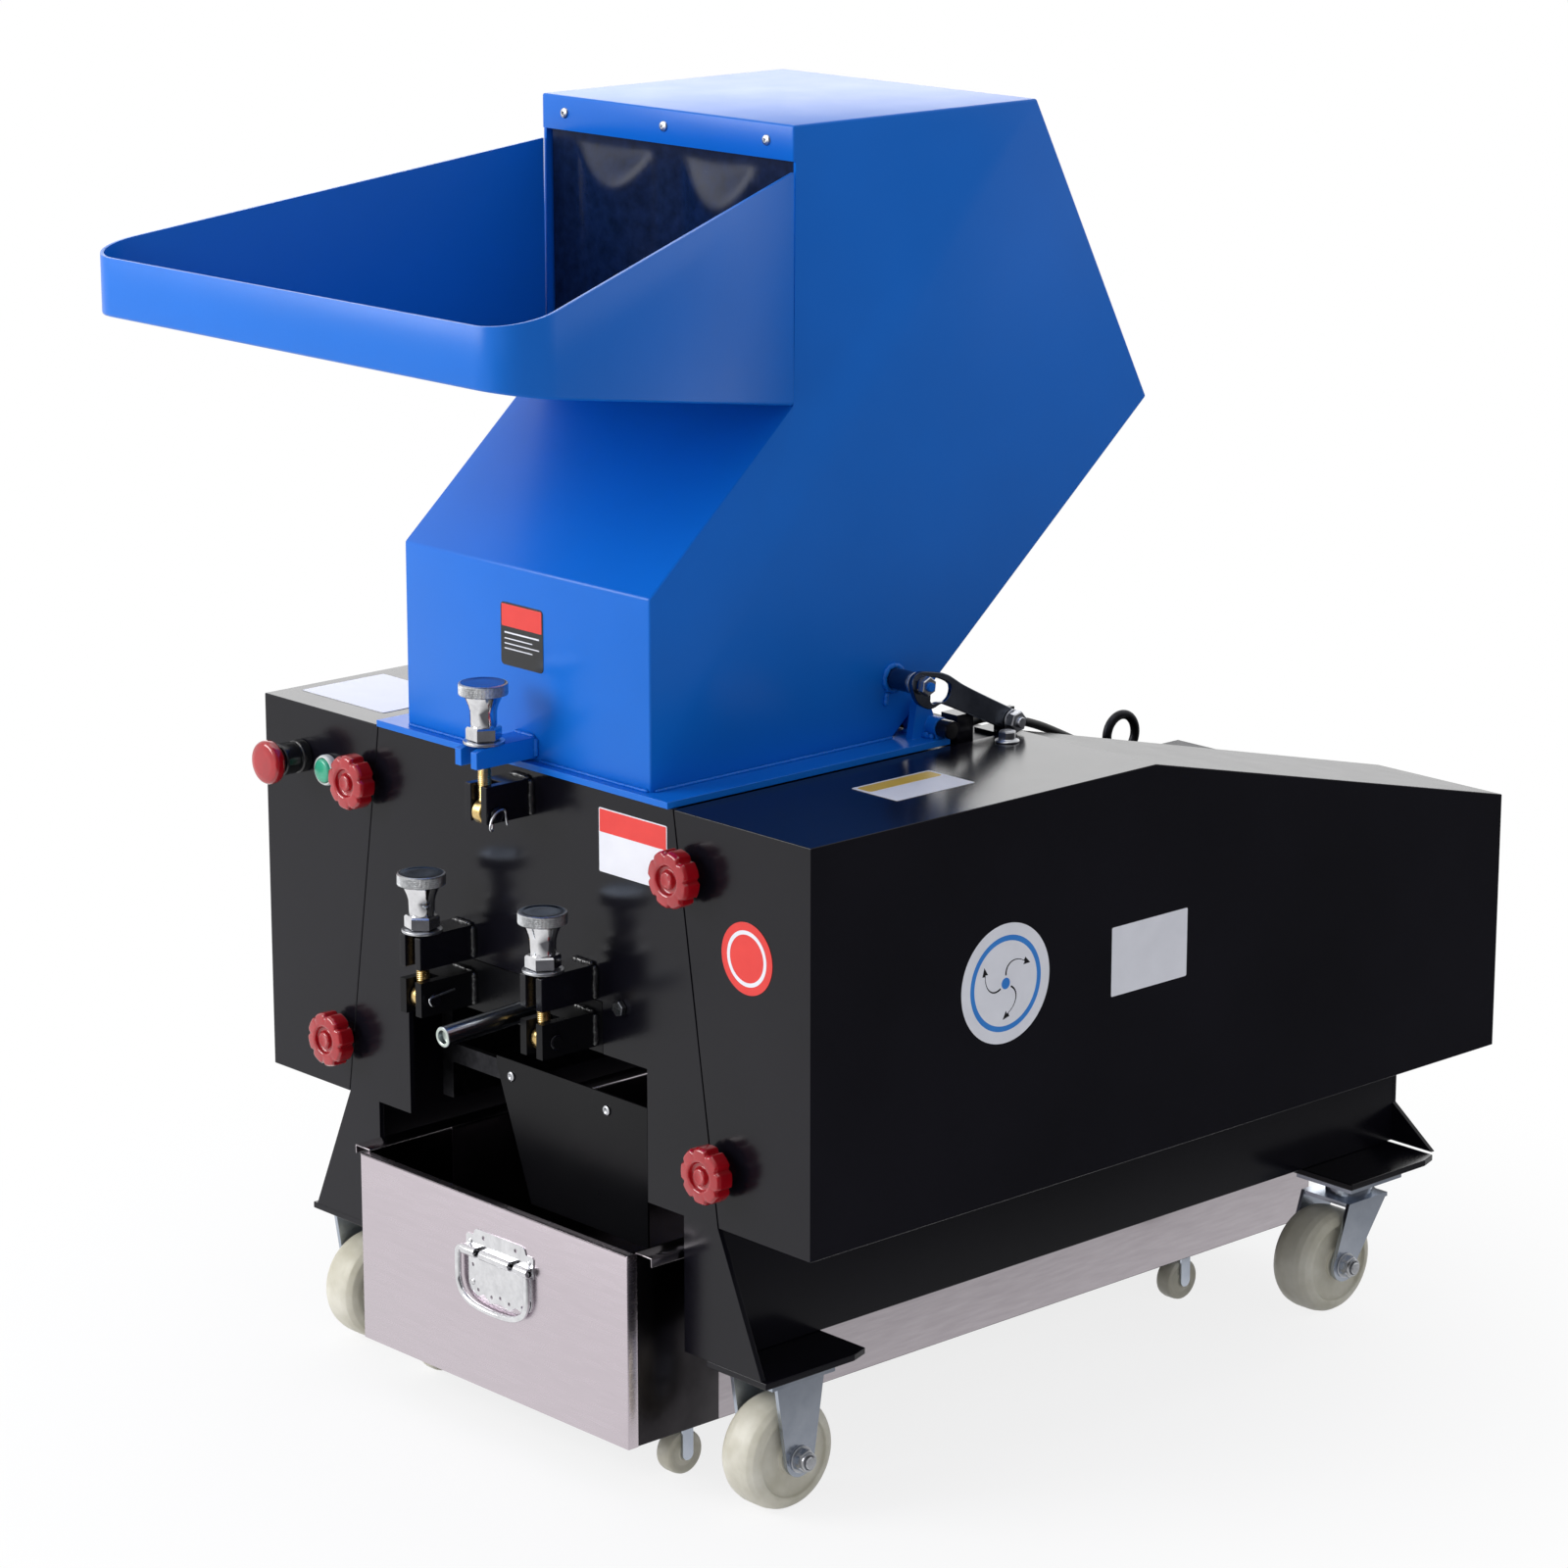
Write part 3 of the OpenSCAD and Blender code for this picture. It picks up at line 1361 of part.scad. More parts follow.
// A main wheel with a rounded tread, on the X axis
module main_wheel(x, y) color(cream) place() translate([x, y, wheel_z]) rotate([0, 90, 0])
    difference() {
        union() {
            rotate_extrude() union() {
                translate([0, -wheel_w / 2]) square([wheel_z - tread_r, wheel_w]);
                translate([0, -wheel_w / 2 + tread_r]) square([wheel_z, wheel_w - 2 * tread_r]);
                for (s = [-1, 1])
                    translate([wheel_z - tread_r, s * (wheel_w / 2 - tread_r)]) circle(r = tread_r);
            }
            translate([0, 0, -hub_w / 2]) cylinder(d = hub_d, h = hub_w);
        }
        for (s = [-1, 1]) translate([0, 0, s * wheel_w / 2 - (s > 0 ? edge : over)]) difference() {
            cylinder(r = wheel_z - tread_r, h = edge + over);
            translate([0, 0, -over]) cylinder(d = hub_d, h = edge + 3 * over);
        }
        translate([0, 0, -hub_w]) cylinder(d = axle_d + 2 * fit_gap, h = 2 * hub_w);
    }

module front_left_wheel() main_wheel(-caster_x, front_wheel_y);
module front_right_wheel() main_wheel(caster_x, front_wheel_y);
module rear_left_wheel() main_wheel(-caster_x, rear_wheel_y);
module rear_right_wheel() main_wheel(caster_x, rear_wheel_y);

flange_setback = 10;
plate_half = 49;
plate_t = 1.5;
plate_h = 64;
ear_half = 45;
bail_wall = 1.5;
bail_barrel_d = bail_d + 2 * bail_wall;
plate_rise = 20;

module bin() color(bright) place() {
    difference() {
        block([-bin_half, bin_y0, bin_floor_h], [bin_half, bin_y1, bin_h]);
        block(
            [-bin_half + bin_t, bin_y0 + bin_t, bin_floor_h + bin_t],
            [bin_half - bin_t, bin_y1 - bin_t, bin_h + over]
        );
    }
    both_sides() block(
        [bin_half, bin_y0 + flange_setback, bin_h - bin_t],
        [bin_half + bin_flange, bin_y1 - flange_setback, bin_h]
    );
    block(
        [bail_x - plate_half, bin_y0 - plate_t, bail_z - plate_h + plate_rise],
        [bail_x + plate_half, bin_y0, bail_z + plate_rise]
    );
    difference() {
        union() {
            bar_x(bail_x - ear_half, bail_x + ear_half, bail_y, bail_z, bail_barrel_d);
            block(
                [bail_x - ear_half, bail_y, bail_z],
                [bail_x + ear_half, bin_y0, bail_z + bail_barrel_d / 2]
            );
        }
        bar_x(bail_x - ear_half - over, bail_x + ear_half + over, bail_y, bail_z, bail_d + 2 * fit_gap);
    }
}

bail_r = 12;

module bin_bail() color(steel) place() translate([bail_x, bail_y, bail_z]) both_sides() {
    x = bail_w / 2;
    bar_x(ear_half * 0.6, x - bail_r / 2, 0, 0, bail_d);
    translate([x - bail_r / 2, 0, -bail_r / 2]) rotate([90, 0, 0]) rotate_extrude(angle = 90)
        translate([bail_r / 2, 0]) circle(d = bail_d);
    bar_z(-bail_drop + bail_r, -bail_r / 2, x, 0, bail_d);
    translate([x - bail_r, 0, -bail_drop + bail_r]) rotate([90, 0, 0]) rotate([0, 0, -90])
        rotate_extrude(angle = 90) translate([bail_r, 0]) circle(d = bail_d);
    bar_x(0, x - bail_r, 0, -bail_drop, bail_d);
}

bin_fork_t = 2;
bin_axle_d = 6;
bin_fork_gap = 1;
bin_fork_x = bin_wheel_w / 2 + bin_fork_gap;
bin_fork_plate = 24;

// A small fork under the bin at depth y, with its axle
module bin_fork(y) {
    z = bin_wheel_d / 2;
    block(
        [bin_wheel_x - bin_fork_x - bin_fork_t, y - bin_fork_plate / 2, bin_floor_h - bin_fork_t],
        [bin_wheel_x + bin_fork_x + bin_fork_t, y + bin_fork_plate / 2, bin_floor_h]
    );
    for (s = [-1, 1]) {
        x = bin_wheel_x + s * (bin_fork_x + bin_fork_t / 2);
        block(
            [x - bin_fork_t / 2, y - bin_axle_d, z],
            [x + bin_fork_t / 2, y + bin_axle_d, bin_floor_h - bin_fork_t]
        );
        bar_x(x - bin_fork_t / 2, x + bin_fork_t / 2, y, z, 2 * bin_axle_d);
    }
    bar_x(bin_wheel_x - bin_fork_x - bin_fork_t, bin_wheel_x + bin_fork_x + bin_fork_t, y, z, bin_axle_d);
}

module bin_wheel_forks() color(steel) place() both_sides() {
    bin_fork(bin_front_wheel_y);
    bin_fork(bin_rear_wheel_y);
}

rim_edge = 1;

// A bin wheel on the X axis
module bin_wheel(x, y) color(cream) place() translate([x, y, bin_wheel_d / 2]) rotate([0, 90, 0]) difference() {
    r = bin_wheel_d / 2;
    translate([0, 0, -bin_wheel_w / 2]) rotate_extrude() polygon([
        [0, 0], [r - 3 * rim_edge, 0], [r - rim_edge, rim_edge], [r, 4 * rim_edge],
        [r, bin_wheel_w - 4 * rim_edge], [r - rim_edge, bin_wheel_w - rim_edge],
        [r - 3 * rim_edge, bin_wheel_w], [0, bin_wheel_w]
    ]);
    translate([0, 0, -bin_wheel_w]) cylinder(d = bin_axle_d + 2 * fit_gap, h = 2 * bin_wheel_w);
}

module bin_wheel_front_left() bin_wheel(-bin_wheel_x, bin_front_wheel_y);
module bin_wheel_front_right() bin_wheel(bin_wheel_x, bin_front_wheel_y);
module bin_wheel_rear_left() bin_wheel(-bin_wheel_x, bin_rear_wheel_y);
module bin_wheel_rear_right() bin_wheel(bin_wheel_x, bin_rear_wheel_y);

front_panel();
rear_panel();
side_panels();
foot_plates();
chamber_end_plates();
chamber_walls();
fixed_knives();
bearing_housings();
frame_lugs();
motor_base();
rotor();
rotor_knives();
rotor_pulley();
balance_wheel();
motor_housing();
motor_pulley();
drive_belts();
screen_cradle();
screen();
cradle_handle();
baffle();
hopper_shell();
feed_tray();
hopper_flange();
mouth_curtain();
hinge_brackets();
stay_arm();
switch_cable();
left_cover();
right_cover();
knob_left_top();
knob_left_low();
knob_right_top();
knob_right_low();
stop_button();
start_button();
button_bases();
top_eyebolt();
left_eyebolt();
right_eyebolt();
top_washer();
left_washer();
right_washer();
top_hand_nut();
left_hand_nut();
right_hand_nut();
caster_mounts();
left_swivel_fork();
right_swivel_fork();
front_left_wheel();
front_right_wheel();
rear_left_wheel();
rear_right_wheel();
bin();
bin_bail();
bin_wheel_forks();
bin_wheel_front_left();
bin_wheel_front_right();
bin_wheel_rear_left();
bin_wheel_rear_right();
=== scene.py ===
import json
import math
import random

import bmesh
import bpy
from mathutils import Matrix, Vector


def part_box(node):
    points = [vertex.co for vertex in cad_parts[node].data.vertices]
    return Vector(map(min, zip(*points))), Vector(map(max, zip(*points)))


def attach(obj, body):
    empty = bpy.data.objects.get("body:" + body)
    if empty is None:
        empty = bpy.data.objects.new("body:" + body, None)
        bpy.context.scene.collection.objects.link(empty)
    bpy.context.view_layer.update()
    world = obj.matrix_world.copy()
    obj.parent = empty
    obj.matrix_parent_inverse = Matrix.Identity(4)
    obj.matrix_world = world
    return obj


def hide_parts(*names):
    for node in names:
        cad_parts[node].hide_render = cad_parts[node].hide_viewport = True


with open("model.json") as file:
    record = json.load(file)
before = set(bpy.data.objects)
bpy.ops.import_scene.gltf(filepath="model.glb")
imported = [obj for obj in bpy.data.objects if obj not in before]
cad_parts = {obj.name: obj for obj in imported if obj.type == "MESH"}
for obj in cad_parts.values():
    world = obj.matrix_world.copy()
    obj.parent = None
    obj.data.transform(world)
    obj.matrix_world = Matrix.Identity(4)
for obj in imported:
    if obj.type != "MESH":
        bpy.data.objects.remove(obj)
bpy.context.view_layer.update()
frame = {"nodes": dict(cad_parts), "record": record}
MM = 0.001
# Depth of the front sheet's face in the frame
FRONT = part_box("front_panel")[0].y


def at(x, y, z):
    """A point in metres from millimetres right, behind the front sheet and above the floor."""
    return Vector((x * MM, FRONT + y * MM, z * MM))


# Camera, fitted to the photo's perspective
def make_camera():
    data = bpy.data.cameras.new("camera")
    data.lens = 111.435
    data.sensor_width = 36
    data.clip_start = 0.1
    data.clip_end = 100
    camera = bpy.data.objects.new("camera", data)
    camera.location = at(3116.06, -2560.83, 1636.35)
    camera.rotation_euler = (math.radians(75.4344), 0, math.radians(47.3814))
    bpy.context.scene.collection.objects.link(camera)
    bpy.context.scene.camera = camera


# Studio: white backdrop, soft lamps
def make_world():
    world = bpy.data.worlds.new("studio")
    bpy.context.scene.world = world
    world.use_nodes = True
    nodes, links = world.node_tree.nodes, world.node_tree.links
    nodes.clear()
    out = nodes.new("ShaderNodeOutputWorld")
    lit = nodes.new("ShaderNodeBackground")
    lit.inputs["Color"].default_value = (0.93, 0.95, 1.0, 1)
    lit.inputs["Strength"].default_value = 0.6
    seen = nodes.new("ShaderNodeBackground")
    seen.inputs["Strength"].default_value = 1.0
    # Reflections darken towards the unlit side of the studio, on the right
    coords = nodes.new("ShaderNodeTexCoord")
    split = nodes.new("ShaderNodeSeparateXYZ")
    links.new(coords.outputs["Generated"], split.inputs[0])
    links.new(ramp(nodes, links, split.outputs["X"], [(0.35, (1, 1, 1)), (0.72, (0.12, 0.12, 0.13))]),
        seen.inputs["Color"])
    white = nodes.new("ShaderNodeBackground")
    path = nodes.new("ShaderNodeLightPath")
    mix = nodes.new("ShaderNodeMixShader")
    links.new(greater(nodes, links, path.outputs["Is Glossy Ray"], path.outputs["Is Transmission Ray"]),
        mix.inputs[0])
    links.new(lit.outputs[0], mix.inputs[1])
    links.new(seen.outputs[0], mix.inputs[2])
    direct = nodes.new("ShaderNodeMixShader")
    links.new(path.outputs["Is Camera Ray"], direct.inputs[0])
    links.new(mix.outputs[0], direct.inputs[1])
    links.new(white.outputs[0], direct.inputs[2])
    links.new(direct.outputs[0], out.inputs["Surface"])


def lamp(name, where, target, size, power, colour=(1, 1, 1)):
    data = bpy.data.lights.new(name, "AREA")
    data.shape = "RECTANGLE"
    data.size, data.size_y = size
    data.energy = power
    data.color = colour
    obj = bpy.data.objects.new(name, data)
    obj.location = Vector(where)
    obj.rotation_euler = (Vector(target) - Vector(where)).to_track_quat("-Z", "Y").to_euler()
    bpy.context.scene.collection.objects.link(obj)


def make_lamps():
    centre = (0, 0, 0.55)
    lamp("key", (-1.9, -3.1, 2.0), centre, (2.2, 1.8), 100)
    lamp("top", (-0.2, 0.0, 3.6), centre, (2.6, 2.6), 19)
    lamp("back", (-3.0, 2.75, 2.1), (0, 0.1, 0.9), (3.4, 1.9), 29)


def material(name):
    mat = bpy.data.materials.new(name)
    mat.use_nodes = True
    return mat, mat.node_tree.nodes, mat.node_tree.links, mat.node_tree.nodes["Principled BSDF"]


def make_floor():
    mesh = bpy.data.meshes.new("floor")
    half = 14
    mesh.from_pydata([(-half, -half, 0), (half, -half, 0), (half, half, 0), (-half, half, 0)], [],
        [(0, 1, 2, 3)])
    floor = bpy.data.objects.new("floor", mesh)
    bpy.context.scene.collection.objects.link(floor)
    mat, nodes, links, shader = material("floor")
    grain = noise(nodes, links, 6, 4)
    links.new(ramp(nodes, links, grain, [(0, (0.90, 0.90, 0.91)), (1, (0.93, 0.93, 0.94))]),
        shader.inputs["Base Color"])
    shader.inputs["Roughness"].default_value = 0.9
    shader.inputs["Specular IOR Level"].default_value = 0.1
    coords = nodes.new("ShaderNodeTexCoord")
    path = nodes.new("ShaderNodeLightPath")
    # Seen straight, the floor fades to white away from the machine
    length = nodes.new("ShaderNodeVectorMath")
    length.operation = "LENGTH"
    links.new(coords.outputs["Object"], length.inputs[0])
    far = nodes.new("ShaderNodeMapRange")
    far.interpolation_type = "SMOOTHSTEP"
    far.inputs["From Min"].default_value = 0.35
    far.inputs["From Max"].default_value = 1.1
    far.inputs["To Min"].default_value = 0.82
    links.new(length.outputs["Value"], far.inputs["Value"])
    seen = nodes.new("ShaderNodeMath")
    seen.operation = "MULTIPLY"
    links.new(path.outputs["Is Camera Ray"], seen.inputs[0])
    links.new(far.outputs["Result"], seen.inputs[1])
    white = nodes.new("ShaderNodeEmission")
    first = nodes.new("ShaderNodeMixShader")
    links.new(seen.outputs[0], first.inputs[0])
    links.new(shader.outputs[0], first.inputs[1])
    links.new(white.outputs[0], first.inputs[2])
    # Reflected, it is white on the lit side and darker on the right
    split = nodes.new("ShaderNodeSeparateXYZ")
    links.new(coords.outputs["Object"], split.inputs[0])
    across = nodes.new("ShaderNodeMapRange")
    across.inputs["From Min"].default_value = -1.0
    across.inputs["From Max"].default_value = 2.0
    links.new(split.outputs["X"], across.inputs["Value"])
    glow = nodes.new("ShaderNodeEmission")
    links.new(ramp(nodes, links, across.outputs["Result"], [(0.37, (1, 1, 1)), (0.56, (0.12, 0.12, 0.13))]),
              glow.inputs["Color"])
    second = nodes.new("ShaderNodeMixShader")
    links.new(greater(nodes, links, path.outputs["Is Glossy Ray"], path.outputs["Is Transmission Ray"]),
              second.inputs[0])
    links.new(first.outputs[0], second.inputs[1])
    links.new(glow.outputs[0], second.inputs[2])
    links.new(second.outputs[0], nodes["Material Output"].inputs["Surface"])
    floor.data.materials.append(mat)


# Shader building blocks
def noise(nodes, links, scale, detail=4.0, rough=0.55, stretch=None):
    """Noise in the object's own metres, stretched along an axis where given."""
    coords = nodes.new("ShaderNodeTexCoord")
    tex = nodes.new("ShaderNodeTexNoise")
    tex.inputs["Scale"].default_value = scale
    tex.inputs["Detail"].default_value = detail
    tex.inputs["Roughness"].default_value = rough
    source = coords.outputs["Object"]
    if stretch:
        mapping = nodes.new("ShaderNodeMapping")
        mapping.inputs["Scale"].default_value = stretch
        links.new(source, mapping.inputs["Vector"])
        source = mapping.outputs["Vector"]
    links.new(source, tex.inputs["Vector"])
    return tex.outputs["Fac"]


def ramp(nodes, links, source, stops):
    node = nodes.new("ShaderNodeValToRGB")
    while len(node.color_ramp.elements) < len(stops):
        node.color_ramp.elements.new(0.5)
    for element, (place, colour) in zip(node.color_ramp.elements, stops):
        element.position = place
        element.color = (*colour, 1) if len(colour) == 3 else colour
    links.new(source, node.inputs["Fac"])
    return node.outputs["Color"]


def greater(nodes, links, a, b):
    node = nodes.new("ShaderNodeMath")
    node.operation = "MAXIMUM"
    links.new(a, node.inputs[0])
    links.new(b, node.inputs[1])
    return node.outputs[0]


def span(nodes, links, source, low, high):
    node = nodes.new("ShaderNodeMapRange")
    node.inputs["To Min"].default_value = low
    node.inputs["To Max"].default_value = high
    links.new(source, node.inputs["Value"])
    return node.outputs["Result"]


def bump(nodes, links, shader, source, height, distance=0.001):
    node = nodes.new("ShaderNodeBump")
    node.inputs["Strength"].default_value = height
    node.inputs["Distance"].default_value = distance
    links.new(source, node.inputs["Height"])
    links.new(node.outputs["Normal"], shader.inputs["Normal"])


def paint(name, deep, pale, rough=(0.16, 0.24), level=0.5, coat=0.0, peel=0.06):
    """Sprayed enamel: slow colour drift, orange peel, uneven gloss."""
    mat, nodes, links, shader = material(name)
    drift = noise(nodes, links, 5, 3)
    links.new(ramp(nodes, links, drift, [(0.3, deep), (0.75, pale)]), shader.inputs["Base Color"])
    links.new(span(nodes, links, noise(nodes, links, 24, 4), *rough), shader.inputs["Roughness"])
    bump(nodes, links, shader, noise(nodes, links, 420, 2), peel, 0.0006)
    shader.inputs["Specular IOR Level"].default_value = level
    shader.inputs["Coat Weight"].default_value = coat
    shader.inputs["Coat Roughness"].default_value = 0.08
    return mat


def metal(name, deep, pale, rough=(0.2, 0.42), scale=60, stretch=None, grain=0.05):
    mat, nodes, links, shader = material(name)
    tex = noise(nodes, links, scale, 6, 0.6, stretch)
    links.new(ramp(nodes, links, tex, [(0.3, deep), (0.7, pale)]), shader.inputs["Base Color"])
    links.new(span(nodes, links, tex, *rough), shader.inputs["Roughness"])
    bump(nodes, links, shader, tex, grain, 0.0005)
    shader.inputs["Metallic"].default_value = 1.0
    return mat


def plastic(name, deep, pale, rough=(0.25, 0.4), scale=90, coat=0.0, grain=0.05, level=0.5):
    mat, nodes, links, shader = material(name)
    shader.inputs["Specular IOR Level"].default_value = level
    tex = noise(nodes, links, scale, 5)
    links.new(ramp(nodes, links, tex, [(0.3, deep), (0.7, pale)]), shader.inputs["Base Color"])
    links.new(span(nodes, links, tex, *rough), shader.inputs["Roughness"])
    bump(nodes, links, shader, tex, grain, 0.0004)
    shader.inputs["Coat Weight"].default_value = coat
    return mat


# Each look: how it is made, then its name, its deep and pale colour, its roughness and the rest
LOOKS = [
    (paint, "black_paint", (0.0035, 0.0033, 0.0055), (0.006, 0.0055, 0.009), (0.17, 0.22), 0.25),
    (paint, "blue_paint", (0.003, 0.135, 0.57), (0.004, 0.150, 0.63), (0.26, 0.34), 0.26),
    (paint, "inner_black", (0.003, 0.003, 0.004), (0.006, 0.006, 0.007), (0.24, 0.34), 0.15),
    # Near-black steel: a painted dark reflection for the bin's inside and the front ends of its sides,
    # where polished steel mirrors dark surroundings
    (metal, "tub_dark", (0.020, 0.018, 0.020), (0.034, 0.031, 0.034), (0.18, 0.28), 40),
    (metal, "bolt_dark", (0.10, 0.11, 0.13), (0.30, 0.31, 0.33), (0.2, 0.35), 90),
    # Near-black metal for the screen: painted shade, as the screen sits deep inside the machine
    (metal, "cast_dark", (0.02, 0.02, 0.023), (0.045, 0.045, 0.05), (0.35, 0.55), 120),
    (metal, "tool_steel", (0.35, 0.35, 0.37), (0.6, 0.6, 0.62), (0.2, 0.35), 90, (12, 1, 1)),
    (plastic, "curtain_sheet", (0.003, 0.008, 0.026), (0.006, 0.016, 0.055), (0.20, 0.30), 90, 0, 0.05,
    0.1),
    (plastic, "belt_rubber", (0.012, 0.012, 0.012), (0.025, 0.025, 0.025), (0.6, 0.8)),
    (plastic, "cable_rubber", (0.010, 0.010, 0.010), (0.02, 0.02, 0.02), (0.4, 0.55)),
    (metal, "zinc_steel", (0.42, 0.43, 0.45), (0.66, 0.67, 0.70), (0.22, 0.40), 140),
    (metal, "yellow_zinc", (0.55, 0.36, 0.12), (0.80, 0.60, 0.28), (0.2, 0.35), 160),
    (plastic, "red_plastic", (0.30, 0.002, 0.007), (0.40, 0.004, 0.010), (0.08, 0.15), 40, 0.6),
    (plastic, "green_plastic", (0.03, 0.35, 0.20), (0.05, 0.42, 0.26), (0.15, 0.25), 60, 0.4),
    (plastic, "dark_plastic", (0.006, 0.006, 0.007), (0.012, 0.012, 0.013), (0.16, 0.26)),
    (plastic, "nylon_wheel", (0.50, 0.47, 0.36), (0.70, 0.67, 0.57), (0.30, 0.5), 30),
    (metal, "stainless", (0.57, 0.51, 0.55), (0.60, 0.535, 0.58), (0.24, 0.30), 26, (1, 1, 9), 0.02),
    # A darker copy of the stainless for the bin's long sides and lips: painted shade on the sides away from
    # the lamps
    (metal, "stainless_dark", (0.39, 0.355, 0.38), (0.45, 0.415, 0.44), (0.11, 0.17), 26, (1, 1, 9), 0.02),
    (paint, "black_rough", (0.004, 0.004, 0.005), (0.016, 0.016, 0.018), (0.08, 0.3), 0.8, 0, 0.9),
    (metal, "cast_zinc", (0.40, 0.41, 0.42), (0.68, 0.69, 0.71), (0.25, 0.5), 420, None, 0.25),
    (metal, "dark_zinc", (0.05, 0.055, 0.06), (0.11, 0.12, 0.125), (0.25, 0.4), 60, None, 0.1),
    (metal, "chrome", (0.62, 0.62, 0.64), (0.80, 0.80, 0.82), (0.07, 0.15), 90, None, 0.03),
    (metal, "blued_crown", (0.10, 0.15, 0.24), (0.16, 0.22, 0.34), (0.10, 0.2), 60, None, 0.03),
    (metal, "rod_zinc", (0.07, 0.085, 0.105), (0.50, 0.53, 0.56), (0.12, 0.3), 60, (1, 0.08, 1), 0.05),
    (metal, "rod_end", (0.52, 0.60, 0.55), (0.66, 0.72, 0.68), (0.25, 0.4), 60, None, 0.03),
    (metal, "fork_zinc", (0.34, 0.38, 0.45), (0.52, 0.56, 0.63), (0.16, 0.28), 18, None, 0.03),
    (metal, "stay_zinc", (0.07, 0.08, 0.105), (0.20, 0.22, 0.26), (0.16, 0.3), 22, None, 0.05),
    (plastic, "pale_plastic", (0.62, 0.64, 0.62), (0.72, 0.74, 0.72), (0.25, 0.35), 60),
    (plastic, "label_white", (0.74, 0.74, 0.78), (0.80, 0.80, 0.84), (0.35, 0.5), 30, 0, 0.02),
    (plastic, "label_red", (0.70, 0.025, 0.02), (0.78, 0.04, 0.03), (0.3, 0.4), 30, 0, 0.02),
    (plastic, "label_blue", (0.02, 0.20, 0.62), (0.03, 0.24, 0.68), (0.3, 0.4), 30, 0, 0.02),
    (plastic, "label_yellow", (0.62, 0.40, 0.03), (0.70, 0.46, 0.04), (0.3, 0.4), 30, 0, 0.02),
    (plastic, "label_black", (0.006, 0.006, 0.007), (0.012, 0.012, 0.013), (0.2, 0.3), 30, 0, 0.02),
]
MATERIALS = {name: make(name, *rest) for make, name, *rest in LOOKS}


def dress_nodes():
    """Each CAD node takes its slot's material, and the folded and cast ones get softened edges."""
    slots = {row["node"]: row["material_slot"] for row in frame["record"]["subparts"]}
    # The screen takes near-black metal in place of its own steel: painted shade inside the machine
    looks = {"screen_cradle": "inner_black", "screen": "cast_dark", "caster_mounts": "fork_zinc",
        "left_swivel_fork": "fork_zinc", "right_swivel_fork": "fork_zinc",
             "bin_wheel_forks": "fork_zinc"}
    for name, obj in frame["nodes"].items():
        obj.data.materials.clear()
        obj.data.materials.append(MATERIALS[looks.get(name, slots[name])])
        weld = obj.modifiers.new("weld", "WELD")
        weld.merge_threshold = 1e-6
        if slots[name] == "black_paint":
            flat = obj.modifiers.new("flat", "DECIMATE")
            flat.decimate_type = "DISSOLVE"
            flat.angle_limit = math.radians(0.3)
        if name in ("screen_cradle", "screen", "chamber_walls", "chamber_end_plates"):
            continue
        bevel = obj.modifiers.new("edges", "BEVEL")
        bevel.width = 0.0009 if slots[name] == "black_paint" else 0.0006
        bevel.segments = 3
        bevel.limit_method = "ANGLE"
        bevel.angle_limit = math.radians(35)
        bevel.harden_normals = True


# Mesh building blocks, in millimetres right, behind the front sheet and above the floor
def finish_mesh(obj, mat, body, nodes=(), smooth=30, edge=None):
    """Material, smoothing, softened edges, body and the CAD nodes that the piece stands for."""
    data = obj.data
    data.materials.clear()
    data.materials.append(MATERIALS[mat] if isinstance(mat, str) else mat)
    if smooth is not None:
        data.shade_smooth()
        data.set_sharp_from_angle(angle=math.radians(smooth))
    if edge:
        bevel = obj.modifiers.new("edges", "BEVEL")
        bevel.width = edge * MM
        bevel.segments = 2
        bevel.limit_method = "ANGLE"
        bevel.angle_limit = math.radians(40)
        bevel.harden_normals = True
    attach(obj, body)
    if nodes:
        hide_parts(*([nodes] if isinstance(nodes, str) else nodes))
    return obj


def new_object(name, data):
    obj = bpy.data.objects.new(name, data)
    bpy.context.scene.collection.objects.link(obj)
    return obj


def from_points(name, points, faces, mat, body, nodes=(), smooth=30, edge=None):
    data = bpy.data.meshes.new(name)
    data.from_pydata([at(*p) for p in points], [], faces)
    data.update()
    return finish_mesh(new_object(name, data), mat, body, nodes, smooth, edge)


def axes(direction):
    """Two unit vectors square to a direction, for a right-handed set."""
    w = Vector(direction).normalized()
    u = w.orthogonal().normalized()
    if abs(w.z) < 0.9:
        u = w.cross(Vector((0, 0, 1))).normalized()
    return w, u, w.cross(u)


def turned(profile, origin, direction, steps=64, shape=None):
    """Points and faces of a (radius, height) profile turned about a line; shape() may move a point."""
    w, u, v = axes(direction)
    origin = Vector(origin)
    points, faces, rings = [], [], []
    for r, h in profile:
        if r == 0:
            rings.append([len(points)])
            points.append(origin + w * h)
            continue
        ring = []
        for k in range(steps):
            angle = math.tau * k / steps
            rr, hh = shape(angle, r, h) if shape else (r, h)
            ring.append(len(points))
            points.append(origin + w * hh + (u * math.cos(angle) + v * math.sin(angle)) * rr)
        rings.append(ring)
    for a, b in zip(rings, rings[1:]):
        for k in range(steps):
            n = (k + 1) % steps
            if len(a) == 1:
                faces.append((a[0], b[n], b[k]))
            elif len(b) == 1:
                faces.append((a[k], a[n], b[0]))
            else:
                faces.append((a[k], a[n], b[n], b[k]))
    return points, faces


def turn(name, profile, origin, direction, mat, body, nodes=(), steps=64, shape=None, smooth=30):
    points, faces = turned(profile, origin, direction, steps, shape)
    return from_points(name, points, faces, mat, body, nodes, smooth)


